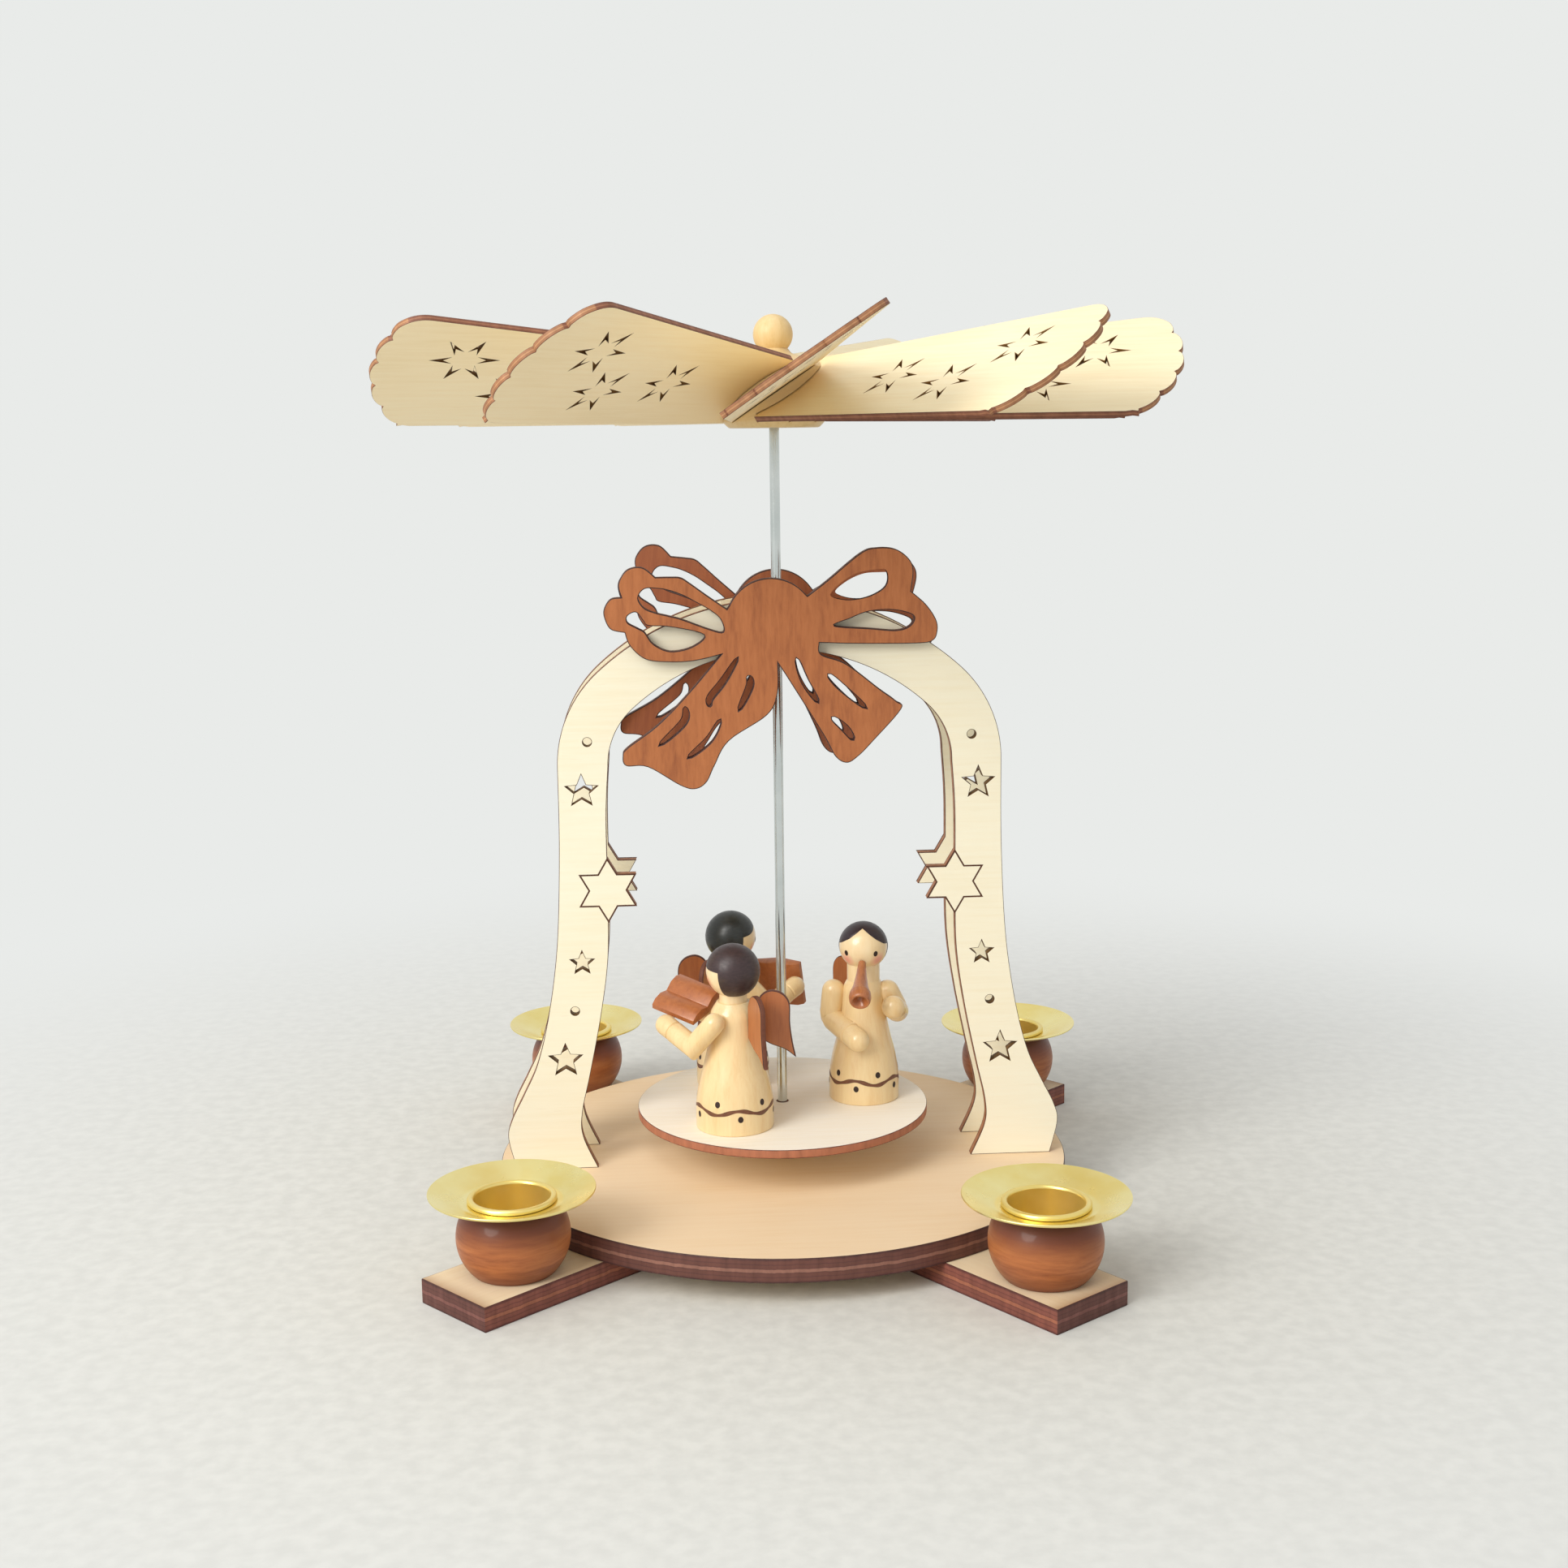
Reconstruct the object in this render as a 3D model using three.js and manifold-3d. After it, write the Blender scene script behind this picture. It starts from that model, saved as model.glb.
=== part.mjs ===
// Candle pyramid: a plywood carousel on a cross of two bars. Four candles warm the air, the air
// turns a wheel of ten slanted blades, and the wheel turns a thin spindle with a small turntable
// that carries three turned wooden angels.
// Millimetres, +Z up. The origin is on the floor, under the spindle. The two arches stand
// parallel to the XZ plane, and -Y is the front.
import * as THREE from 'three';
import { mergeVertices } from 'three/addons/utils/BufferGeometryUtils.js';
import Module from 'manifold-3d';

const wasm = await Module();
wasm.setup();

// Clearances
const glueGap = 0.3; // between pieces that are glued or pushed together
const runGap = 0.4; // round the spindle, where it turns
const overrun = 1; // how far a cutting tool runs past the face that it cuts

// Cross of two bars, halved into each other
const barLength = 216;
const barWidth = 24;
const barThickness = 6;
const lowerBarTurn = 41.8; // degrees from +X
const upperBarTurn = -53.4;

// Base plate and the bearing let into it
const baseRadius = 74;
const baseThickness = 6;
const bearingRadius = 4;
const bearingHeight = 5;
const bearingPitRadius = 2.6;
const bearingPitDepth = 2.4;

// Candle holders: turned balls with a brass drip dish and a brass cup
// from the bar's end to the candle's middle; the balls are glued on by eye
const candleInsets = { front_left: 18, front_right: 14.5, rear_right: 12.5, rear_left: 12.5 };
const ballRadius = 13.4;
const ballHalfHeight = 12.5; // of the full ball, before its two flats
const ballHeight = 16.6;
const ballFootRadius = 9.5;
const dishRadius = 19.6;
const dishFlatRadius = 12;
const dishRise = 2.9;
const sheetThickness = 0.6;
const cupBoreRadius = 8.9;
const cupRimRadius = 10.5;
const cupRimHeight = 1.3;
const cupDepth = 12.2;
const boreSpare = 1.2; // air left under the cup in its bore

// Arches: a three-centred crown on two ogee legs
const plyThickness = 3;
const archSpacing = 14.4; // clear width between the two arches
const archHeight = 146.2; // above the base plate
const archBandWidth = 12.7;
const archHalfSpan = 56;
const crownRadius = 67.7;
const shoulderRadius = 32;
const footFlare = 15.4; // how far the foot swings out past the leg
const footTuck = 9; // how far its inner edge follows
const bridgeLength = 28;
const bridgeHeight = 9;

const legStarRadius = 4.3;
const legHoleRadius = 1.1;
const bigStarRadius = 7.7;

// Bow of stained plywood on each arch
const bowHalfSpan = 41.5;
const bowKnotRadius = 11.2;
const bowDrop = 5.9; // of its knot's middle below the arch's top
const slotWidth = 1.7;
const frontBowAside = -2.2; // of the front knot, glued on to the left of the middle
const rearBowLean = 6.3; // degrees that the rear bow is glued on turned, clockwise from the front
const rearBowAside = 0.5; // of the rear knot, to the right
const rearBowLift = 0.7; // of its knot above the front one's

// Spindle, turntable and its boss
const spindleRadius = 1.25;
const spindlePointLength = 3;
const spindleSeat = 13.5; // how far it reaches into the hub
const turntableRadius = 38;
const turntableThickness = 2.2;
const turntableLift = 10.8; // clear height above the base plate
const bossRadius = 7;
const bossHeight = 7.3;

// Wheel: slotted hub with a ball finial, and ten slanted blades
const bladeCount = 10;
const bladeThickness = 1.5;
const bladePitch = 33.7; // degrees
const bladePhase = -3.4; // degrees that the front blade's slot lies past straight front
const bladeRootRadius = 7.4;
const bladeRootChord = 26.3;
const bladeTipRadius = 92;
const bladeTipChord = 42.2;
const bladeBulge = 8;
const scallopCount = 5;
const scallopDepth = 1.1;
const bladeCornerRadius = 3;
const piercedStarRadius = 8;
const hubRadius = 12.7;
const hubBottom = 200; // above the floor
const hubRimHeight = 16.2;
const slotCentreHeight = 9.3; // of the blades' middle line above the hub's bottom
const hubNeckRadius = 3.6;
const hubNeckHeight = 3.2;
const finialRadius = 4.95;

// Angels
const figureOrbit = 22; // from the spindle to each figure
// foot and head radii of the three, which are turned by hand
const angelABodyRadius = 9.2;
const angelAHeadRadius = 6.3;
const angelBBodyRadius = 9.9;
const angelBHeadRadius = 6.75;
const angelCBodyRadius = 9.8;
const angelCHeadRadius = 6.7;
// place, turn and wings in degrees: round the spindle, of the figure, and of its pair of wings on it
const figures = [
  {
    name: 'angel_a', place: 6, turn: -15, wings: 12, holds: 'horn',
    bodyRadius: angelABodyRadius, headRadius: angelAHeadRadius,
  },
  {
    name: 'angel_b', place: -127, turn: -1, wings: 0, holds: 'book',
    bodyRadius: angelBBodyRadius, headRadius: angelBHeadRadius,
  },
  {
    name: 'angel_c', place: 124, turn: -4, wings: 0, holds: 'book',
    bodyRadius: angelCBodyRadius, headRadius: angelCHeadRadius,
  },
];
const bodyHeight = 32.6;
const neckRadius = 2.9;
const figureHeight = 47.2;
const armRadius = 2.7;
const shoulderHeight = 28.6;
const bodiceShare = 0.61; // radius of the body at the arms, as a share of its foot's
const wingWidth = 10;
const wingHeight = 17.4;
const wingThickness = 1.3;
const wingBottom = 18.6;
const wingSpread = 32; // degrees out from straight back
const hornLength = 14.4;
const hornMouthRadius = 1;
const hornBellRadius = 2.9;
const hornDroop = 30; // degrees below level
const bookLength = 13.4;
const bookWidth = 12.6;
const bookThickness = 2.3;

// Facets: sides of the turned pieces, of the round plates, of small bores and of the figures,
// steps up a ball, and steps from point to point of a smooth outline
const turnedSides = 16;
const plateSides = 48;
const boreSides = 12;
const figureSides = 14;
const ballSteps = 5;
const splineSteps = 2;
const crownSteps = 5;

// Heights that follow from the sizes above
const baseTop = barThickness + baseThickness;
const turntableBottom = baseTop + turntableLift;
const turntableTop = turntableBottom + turntableThickness;
const archFront = archSpacing / 2 + plyThickness;
const cupWallRadius = cupBoreRadius + sheetThickness;
const cupHoleRadius = cupWallRadius + glueGap;
const spindleTop = hubBottom + spindleSeat;
const rad = THREE.MathUtils.degToRad;

// Colours
const finish = {
  birch: [0xf2e3c0, 0.62, 0],
  stain: [0xa9633a, 0.5, 0],
  ball: [0x96502b, 0.3, 0],
  brass: [0xdcb93f, 0.22, 1],
  steel: [0x9aa6a6, 0.3, 1],
  varnish: [0xe9cfa0, 0.35, 0],
  wing: [0xb06a3c, 0.4, 0],
};

const group = new THREE.Group();

// Names a closed geometry and puts it on a parent
function place(parent, name, geometry, look) {
  const [color, roughness, metalness] = finish[look];
  const material = new THREE.MeshStandardMaterial({ color, roughness, metalness });
  const mesh = new THREE.Mesh(geometry, material);
  mesh.name = name;
  parent.add(mesh);
  return mesh;
}

// A closed geometry as a solid that can be cut and joined
function solidOf(geometry) {
  const bare = geometry.clone();
  bare.deleteAttribute('normal');
  bare.deleteAttribute('uv');
  const merged = mergeVertices(bare);
  const corners = merged.index.array;
  const kept = [];
  for (let i = 0; i < corners.length; i += 3) {
    const [a, b, c] = [corners[i], corners[i + 1], corners[i + 2]];
    if (a !== b && b !== c && c !== a) kept.push(a, b, c);
  }
  return new wasm.Manifold(new wasm.Mesh({
    numProp: 3,
    vertProperties: new Float32Array(merged.attributes.position.array),
    triVerts: new Uint32Array(kept),
  }));
}

// A cut or joined solid as a geometry again
function geometryOf(solid) {
  const mesh = solid.getMesh();
  const geometry = new THREE.BufferGeometry();
  geometry.setAttribute('position', new THREE.BufferAttribute(mesh.vertProperties, mesh.numProp));
  geometry.setIndex(new THREE.BufferAttribute(mesh.triVerts, 1));
  return geometry;
}

// Turned piece: profile of [radius, height] pairs from the lower axis point to the upper one
function turned(profile, sides = turnedSides) {
  const points = profile.map(([radius, height]) => new THREE.Vector2(radius, height));
  return new THREE.LatheGeometry(points, sides).rotateX(Math.PI / 2);
}

// Flat plate of an outline drawn across and up, lying with its thickness along +Z
function plate(outline, thickness) {
  return new THREE.ExtrudeGeometry(outline, { depth: thickness, bevelEnabled: false });
}

// The same plate stood up: its outline in XZ, its thickness from y = back towards the front
function standing(outline, thickness, back) {
  return plate(outline, thickness).rotateX(Math.PI / 2).translate(0, back, 0);
}

// Points of a smooth line through hand-chosen ones
function smooth(points, steps = splineSteps) {
  const through = points.map(([x, y]) => new THREE.Vector2(x, y));
  return new THREE.SplineCurve(through).getPoints(steps * (through.length - 1));
}

// Points round a circle
function roundPoints(radius, sides, x = 0, y = 0) {
  const points = [];
  for (let i = 0; i < sides; i += 1) {
    const angle = 2 * Math.PI * i / sides;
    points.push(new THREE.Vector2(x + radius * Math.cos(angle), y + radius * Math.sin(angle)));
  }
  return points;
}

// Round disc with a round hole in its middle
function ringOutline(radius, bore) {
  const outline = new THREE.Shape(roundPoints(radius, plateSides));
  outline.holes.push(new THREE.Path(roundPoints(bore, boreSides)));
  return outline;
}

// Star outline with alternating tips and valleys
function starPoints(tips, radius, valleyShare, x, y) {
  const points = [];
  for (let i = 0; i < 2 * tips; i += 1) {
    const reach = i % 2 ? radius * valleyShare : radius;
    const angle = Math.PI / 2 + i * Math.PI / tips;
    points.push(new THREE.Vector2(x + reach * Math.cos(angle), y + reach * Math.sin(angle)));
  }
  return points;
}

// Cross
function crossBar(lapAbove, otherTurn) {
  const half = barThickness / 2;
  const bar = new THREE.BoxGeometry(barLength, barWidth, barThickness);
  bar.translate(0, 0, half);
  const notch = new THREE.BoxGeometry(barWidth + 2 * glueGap, barLength, half + overrun);
  notch.translate(0, 0, lapAbove ? half + (half + overrun) / 2 : half - (half + overrun) / 2);
  notch.rotateZ(rad(otherTurn) - Math.PI / 2);
  return geometryOf(solidOf(bar).subtract(solidOf(notch)));
}

function addCross() {
  const crossing = upperBarTurn - lowerBarTurn;
  const lower = place(group, 'crossbar_lower', crossBar(true, crossing + 180), 'birch');
  lower.rotation.z = rad(lowerBarTurn);
  const upper = place(group, 'crossbar_upper', crossBar(false, -crossing), 'birch');
  upper.rotation.z = rad(upperBarTurn);
}

// Base plate with the bearing let into its middle
function addBase() {
  const outline = ringOutline(baseRadius, bearingRadius + glueGap);
  const base = plate(outline, baseThickness).translate(0, 0, barThickness);
  place(group, 'base_plate', base, 'birch');
  const bottom = baseTop - bearingHeight;
  const bearing = turned([
    [0, bottom],
    [bearingRadius, bottom],
    [bearingRadius, baseTop],
    [bearingPitRadius, baseTop],
    [0, baseTop - bearingPitDepth],
  ], boreSides);
  place(group, 'pivot_bearing', bearing, 'steel');
}

// One candle holder: ball, drip dish and cup, with the ball's foot at height zero
const dishTop = ballHeight + sheetThickness;
const cupTop = dishTop + cupRimHeight;
const cupFloor = cupTop - cupDepth;

function ballProfile() {
  const sink = ballHalfHeight * Math.sqrt(1 - (ballFootRadius / ballRadius) ** 2);
  const boreFloor = cupFloor - sheetThickness - boreSpare;
  const profile = [[0, 0]];
  for (let i = 0; i <= ballSteps; i += 1) {
    const height = ballHeight * i / ballSteps;
    const level = (height - sink) / ballHalfHeight;
    profile.push([ballRadius * Math.sqrt(1 - level * level), height]);
  }
  profile.push([cupHoleRadius, ballHeight], [cupHoleRadius, boreFloor], [0, boreFloor]);
  return profile;
}

function addCandle(name, angle) {
  const holder = new THREE.Group();
  const reach = barLength / 2 - candleInsets[name];
  holder.position.set(reach * Math.cos(angle), reach * Math.sin(angle), barThickness);
  holder.rotation.z = angle;
  group.add(holder);
  place(holder, `candle_holder_${name}`, turned(ballProfile()), 'ball');

  const dish = turned([
    [cupHoleRadius, ballHeight],
    [dishFlatRadius, ballHeight],
    [dishRadius, ballHeight + dishRise],
    [dishRadius, dishTop + dishRise],
    [dishFlatRadius, dishTop],
    [cupHoleRadius, dishTop],
    [cupHoleRadius, ballHeight],
  ], turnedSides + 2);
  place(holder, `drip_dish_${name}`, dish, 'brass');

  const ease = cupRimHeight / 2;
  const cup = turned([
    [0, cupFloor - sheetThickness],
    [cupWallRadius, cupFloor - sheetThickness],
    [cupWallRadius, dishTop],
    [cupRimRadius, dishTop],
    [cupRimRadius, dishTop + ease],
    [(cupRimRadius + cupWallRadius) / 2, cupTop],
    [cupBoreRadius, cupTop - ease],
    [cupBoreRadius, cupFloor],
    [0, cupFloor],
  ]);
  place(holder, `candle_cup_${name}`, cup, 'brass');
}

// Arch outline, heights from the base plate. The leg's shares run from the leg's waist (0) to
// the foot's widest place (1), and from the base plate (0) to the arch's springing (1).
const legOuterShares = [
  [0, 1], [0.01, 0.8], [0.09, 0.57], [0.26, 0.396], [0.47, 0.272], [0.71, 0.194], [0.93, 0.129],
  [1, 0.081], [0.87, 0],
];
const legInnerShares = [
  [0, 1], [0.09, 0.877], [0.1, 0.686], [0.14, 0.534], [0.37, 0.394], [0.73, 0.243], [0.99, 0.143],
  [0.98, 0.081], [0.58, 0],
];

// Stars and holes in a leg: height as a share of the arch's, place across as shares of the
// band's width (in from its outer edge) and of the foot's flare (out), and size
const legStarShares = [
  { up: 0.676, inward: 0.5, outward: 0.03, size: 0.98 },
  { up: 0.373, inward: 0.5, outward: 0.1, size: 0.72 },
  { up: 0.198, inward: 0.5, outward: 0.42, size: 1.02 },
];
const legHoleShares = [
  { up: 0.761, inward: 0.6, outward: 0 },
  { up: 0.287, inward: 0.5, outward: 0.24 },
];
const bigStarShares = { up: 0.501, inward: 0.93, outward: 0 };
const legStarValleyShare = 0.45;
const bigStarValleyShare = 0.58;

const legPlace = (side, { up, inward, outward }) => [
  side * (archHalfSpan - inward * archBandWidth + outward * footFlare),
  up * archHeight,
];

function bandSide(inset, flare, shares) {
  const crownCentre = archHeight - crownRadius;
  const shoulderX = archHalfSpan - shoulderRadius;
  const rise = Math.sqrt((crownRadius - shoulderRadius) ** 2 - shoulderX ** 2);
  const springing = crownCentre + rise;
  const joint = Math.atan2(rise, shoulderX);
  const points = [];
  for (let i = 0; i < crownSteps; i += 1) {
    const angle = Math.PI / 2 + (joint - Math.PI / 2) * i / crownSteps;
    const radius = crownRadius - inset;
    points.push([radius * Math.cos(angle), crownCentre + radius * Math.sin(angle)]);
  }
  for (let i = 0; i < crownSteps; i += 1) {
    const angle = joint * (1 - i / crownSteps);
    const radius = shoulderRadius - inset;
    points.push([shoulderX + radius * Math.cos(angle), springing + radius * Math.sin(angle)]);
  }
  const leg = shares.map(([across, up]) => [archHalfSpan - inset + across * flare, up * springing]);
  return points.concat(smooth(leg).map((point) => [point.x, point.y]));
}

function archOutline() {
  const outer = bandSide(0, footFlare, legOuterShares);
  const inner = bandSide(archBandWidth, footTuck, legInnerShares);
  const mirror = (points) => points.slice(1).map(([x, y]) => [-x, y]);
  const loop = [...mirror(outer).reverse(), ...outer, ...inner.reverse(), ...mirror(inner.reverse())];
  const outline = new THREE.Shape(loop.map(([x, y]) => new THREE.Vector2(x, y)));
  for (const side of [-1, 1]) {
    for (const star of legStarShares) {
      const radius = star.size * legStarRadius;
      outline.holes.push(new THREE.Path(starPoints(5, radius, legStarValleyShare, ...legPlace(side, star))));
    }
    for (const hole of legHoleShares) {
      outline.holes.push(new THREE.Path(roundPoints(legHoleRadius, ballSteps, ...legPlace(side, hole))));
    }
  }
  return outline;
}

function archPlate(back) {
  let arch = solidOf(standing(archOutline(), plyThickness, back));
  for (const side of [-1, 1]) {
    const tips = starPoints(6, bigStarRadius, bigStarValleyShare, ...legPlace(side, bigStarShares));
    arch = arch.add(solidOf(standing(new THREE.Shape(tips), plyThickness, back)));
  }
  return geometryOf(arch).translate(0, 0, baseTop);
}

function addArches() {
  place(group, 'arch_front', archPlate(-archSpacing / 2), 'birch');
  place(group, 'arch_rear', archPlate(archFront), 'birch');
  const outline = new THREE.Shape();
  outline.moveTo(-bridgeLength / 2, -archSpacing / 2);
  outline.lineTo(bridgeLength / 2, -archSpacing / 2);
  outline.lineTo(bridgeLength / 2, archSpacing / 2);
  outline.lineTo(-bridgeLength / 2, archSpacing / 2);
  outline.holes.push(new THREE.Path(roundPoints(spindleRadius + runGap, boreSides)));
  const crownSag = crownRadius - Math.sqrt(crownRadius ** 2 - (bridgeLength / 2) ** 2);
  const top = baseTop + archHeight - crownSag;
  place(group, 'bridge', plate(outline, bridgeHeight).translate(0, 0, top - bridgeHeight), 'birch');
}

// Bow: its outline and its cut-outs as shares of half its span, from the middle of the knot.
// Each stretch is smooth, and stretches meet in corners.
const bowOutlineShares = [
  [[0.22, 0.16], [0.34, 0.25], [0.54, 0.41], [0.64, 0.44], [0.75, 0.43], [0.83, 0.37], [0.855, 0.3],
    [0.84, 0.18]],
  [[0.84, 0.18], [0.93, 0.1], [0.99, 0.01], [1, -0.06], [0.97, -0.12], [0.86, -0.135], [0.5, -0.13],
    [0.29, -0.12]],
  [[0.29, -0.12], [0.3, -0.19], [0.45, -0.25], [0.65, -0.405], [0.75, -0.48], [0.78, -0.53], [0.61, -0.72],
    [0.52, -0.81], [0.45, -0.85], [0.38, -0.81], [0.31, -0.68], [0.11, -0.35], [0.04, -0.24]],
  [[0.04, -0.24], [0.035, -0.42], [-0.03, -0.55], [-0.26, -0.7], [-0.35, -0.85], [-0.4, -0.95],
    [-0.47, -0.99], [-0.56, -0.965], [-0.75, -0.85], [-0.88, -0.84], [-0.9, -0.78], [-0.87, -0.73],
    [-0.69, -0.6], [-0.5, -0.41], [-0.3, -0.18]],
  [[-0.3, -0.18], [-0.46, -0.215], [-0.61, -0.22], [-0.75, -0.2], [-0.84, -0.12], [-0.87, -0.04]],
  [[-0.87, -0.04], [-0.95, -0.02], [-0.985, 0.04], [-0.99, 0.1], [-0.95, 0.16], [-0.885, 0.17]],
  [[-0.885, 0.17], [-0.9, 0.25], [-0.85, 0.33], [-0.76, 0.345], [-0.68, 0.285]],
  [[-0.68, 0.285], [-0.59, 0.285], [-0.53, 0.28], [-0.475, 0.245], [-0.38, 0.175], [-0.26, 0.09]],
];
const bowLoopShares = [
  [[-0.785, 0.165], [-0.745, 0.218], [-0.66, 0.217], [-0.596, 0.204], [-0.518, 0.174], [-0.44, 0.131],
    [-0.362, 0.085], [-0.3, 0.03], [-0.285, -0.045], [-0.376, -0.024], [-0.525, 0.033], [-0.61, 0.057],
    [-0.681, 0.075], [-0.75, 0.105]],
  [[-0.85, 0.06], [-0.8, 0.08], [-0.76, 0.03], [-0.73, 0], [-0.6, -0.01], [-0.4, -0.06], [-0.47, -0.13],
    [-0.6, -0.155], [-0.7, -0.11], [-0.75, -0.04], [-0.79, -0.015], [-0.85, 0.02]],
  [[0.35, 0.16], [0.41, 0.235], [0.51, 0.295], [0.61, 0.315], [0.69, 0.315], [0.71, 0.25], [0.68, 0.19],
    [0.58, 0.14], [0.45, 0.125]],
  [[0.38, -0.02], [0.47, 0.02], [0.58, 0.06], [0.71, 0.07], [0.82, 0.05], [0.86, 0.02], [0.83, -0.03],
    [0.75, -0.053], [0.6, -0.04]],
];
const bowSlotShares = [
  [[-0.2, -0.2], [-0.29, -0.34], [-0.37, -0.44], [-0.37, -0.49]],
  [[-0.14, -0.31], [-0.13, -0.37], [-0.2, -0.52]],
  [[-0.52, -0.49], [-0.53, -0.58], [-0.68, -0.72]],
  [[-0.31, -0.57], [-0.38, -0.69], [-0.51, -0.8]],
  [[0.15, -0.21], [0.2, -0.35], [0.28, -0.48]],
  [[0.34, -0.31], [0.42, -0.39], [0.57, -0.52]],
  [[0.36, -0.57], [0.44, -0.64], [0.49, -0.71]],
];

const bowPoint = ([x, y]) => [x * bowHalfSpan, y * bowHalfSpan];

// Slender curved slot along a smooth line, pointed at both ends
function slotPoints(shares) {
  const steps = 3;
  const line = new THREE.SplineCurve(shares.map(bowPoint).map(([x, y]) => new THREE.Vector2(x, y)));
  const near = [];
  const far = [];
  for (let i = 0; i <= steps; i += 1) {
    const at = line.getPoint(i / steps);
    const along = line.getTangent(i / steps);
    const half = slotWidth / 2 * Math.sin(Math.PI * i / steps);
    const side = new THREE.Vector2(-along.y, along.x).multiplyScalar(half);
    near.push(at.clone().add(side));
    if (i > 0 && i < steps) far.push(at.clone().sub(side));
  }
  return [...near, ...far.reverse()];
}

function bowOutline() {
  const points = [];
  for (const stretch of bowOutlineShares) {
    points.push(...smooth(stretch.map(bowPoint)).slice(1));
  }
  const last = points[points.length - 1];
  const first = bowPoint(bowOutlineShares[0][0]);
  const from = Math.atan2(last.y, last.x);
  const to = Math.atan2(first[1], first[0]);
  for (let i = 1; i <= crownSteps; i += 1) {
    const angle = from + (to - from) * i / crownSteps;
    points.push(new THREE.Vector2(bowKnotRadius * Math.cos(angle), bowKnotRadius * Math.sin(angle)));
  }
  const outline = new THREE.Shape(points.reverse());
  for (const loop of bowLoopShares) {
    const closed = [...loop, loop[0]].map(bowPoint);
    outline.holes.push(new THREE.Path(smooth(closed, 1).slice(1)));
  }
  for (const slot of bowSlotShares) outline.holes.push(new THREE.Path(slotPoints(slot)));
  return outline;
}

function addBows() {
  const outline = bowOutline();
  const knotHeight = baseTop + archHeight - bowDrop;
  const front = place(group, 'bow_front', standing(outline, plyThickness, 0), 'stain');
  front.position.set(frontBowAside, -archFront, knotHeight);
  const rear = place(group, 'bow_rear', standing(outline, plyThickness, 0), 'stain');
  rear.position.set(rearBowAside, archFront + plyThickness, knotHeight + rearBowLift);
  rear.rotation.y = rad(rearBowLean);
}

// Everything that turns hangs on this group
const carousel = new THREE.Group();
group.add(carousel);

function addSpindle() {
  const bottom = baseTop - bearingPitDepth + glueGap;
  const spindle = turned([
    [0, bottom],
    [spindleRadius, bottom + spindlePointLength],
    [spindleRadius, spindleTop],
    [0, spindleTop],
  ], boreSides);
  place(carousel, 'spindle', spindle, 'steel');

  const bore = spindleRadius + glueGap;
  const table = plate(ringOutline(turntableRadius, bore), turntableThickness);
  table.translate(0, 0, turntableBottom);
  place(carousel, 'turntable_disc', table, 'birch');

  const bossBottom = turntableBottom - bossHeight;
  const boss = turned([
    [bore, bossBottom],
    [bossRadius - glueGap, bossBottom],
    [bossRadius, bossBottom + glueGap],
    [bossRadius, turntableBottom],
    [bore, turntableBottom],
    [bore, bossBottom],
  ], boreSides);
  place(carousel, 'turntable_hub', boss, 'birch');
}

// Blade: u runs out from the spindle, v across the blade, both in the blade's own plane. The
// lower edge is straight, the upper edge flares out, and the tip bulges in scallops.
function bladeOutline() {
  const low = -bladeRootChord / 2;
  const high = low + bladeTipChord;
  const middle = (low + high) / 2;
  const half = bladeTipChord / 2;
  const tipRadius = (half * half + bladeBulge * bladeBulge) / (2 * bladeBulge);
  const tipCentre = bladeTipRadius + bladeBulge - tipRadius;
  const swing = Math.asin(half / tipRadius);
  const points = [
    new THREE.Vector2(bladeRootRadius, low),
    new THREE.Vector2(bladeTipRadius - bladeCornerRadius, low),
  ];
  const stepsPerScallop = 3;
  const steps = scallopCount * stepsPerScallop;
  for (let i = 0; i <= steps; i += 1) {
    const angle = swing * (2 * i / steps - 1);
    const crest = i === 0 || i === steps ? 1 : Math.abs(Math.sin(Math.PI * i / stepsPerScallop));
    const reach = tipRadius - scallopDepth * (1 - crest);
    points.push(new THREE.Vector2(tipCentre + reach * Math.cos(angle), middle + reach * Math.sin(angle)));
  }
  points.push(new THREE.Vector2(bladeTipRadius - bladeCornerRadius, high - bladeCornerRadius / 2));
  points.push(new THREE.Vector2(bladeRootRadius, -low));
  return new THREE.Shape(points);
}

// Pierced star: six darts round a point. Shares of the star's radius.
const dartTipShare = 1;
const dartBarbShare = 0.39;
const dartBarbHalfShare = 0.165;
const dartNotchShare = 0.58;

function dart(u, v, turn) {
  const along = (share, side) => new THREE.Vector2(
    u + piercedStarRadius * (share * Math.cos(turn) - side * Math.sin(turn)),
    v + piercedStarRadius * (share * Math.sin(turn) + side * Math.cos(turn)),
  );
  return new THREE.Path([
    along(dartTipShare, 0),
    along(dartBarbShare, dartBarbHalfShare),
    along(dartNotchShare, 0),
    along(dartBarbShare, -dartBarbHalfShare),
  ]);
}

// Places of the three stars: share of the blade's length and of its tip chord
const bladeStarShares = [[0.843, 0.313], [0.697, -0.024], [0.444, 0.062]];

function bladeGeometry() {
  const outline = bladeOutline();
  const reach = bladeTipRadius - bladeRootRadius;
  for (const [out, across] of bladeStarShares) {
    for (let i = 0; i < 6; i += 1) {
      const u = bladeRootRadius + out * reach;
      outline.holes.push(dart(u, across * bladeTipChord, Math.PI / 6 + i * Math.PI / 3));
    }
  }
  return plate(outline, bladeThickness).translate(0, 0, -bladeThickness / 2);
}

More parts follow.
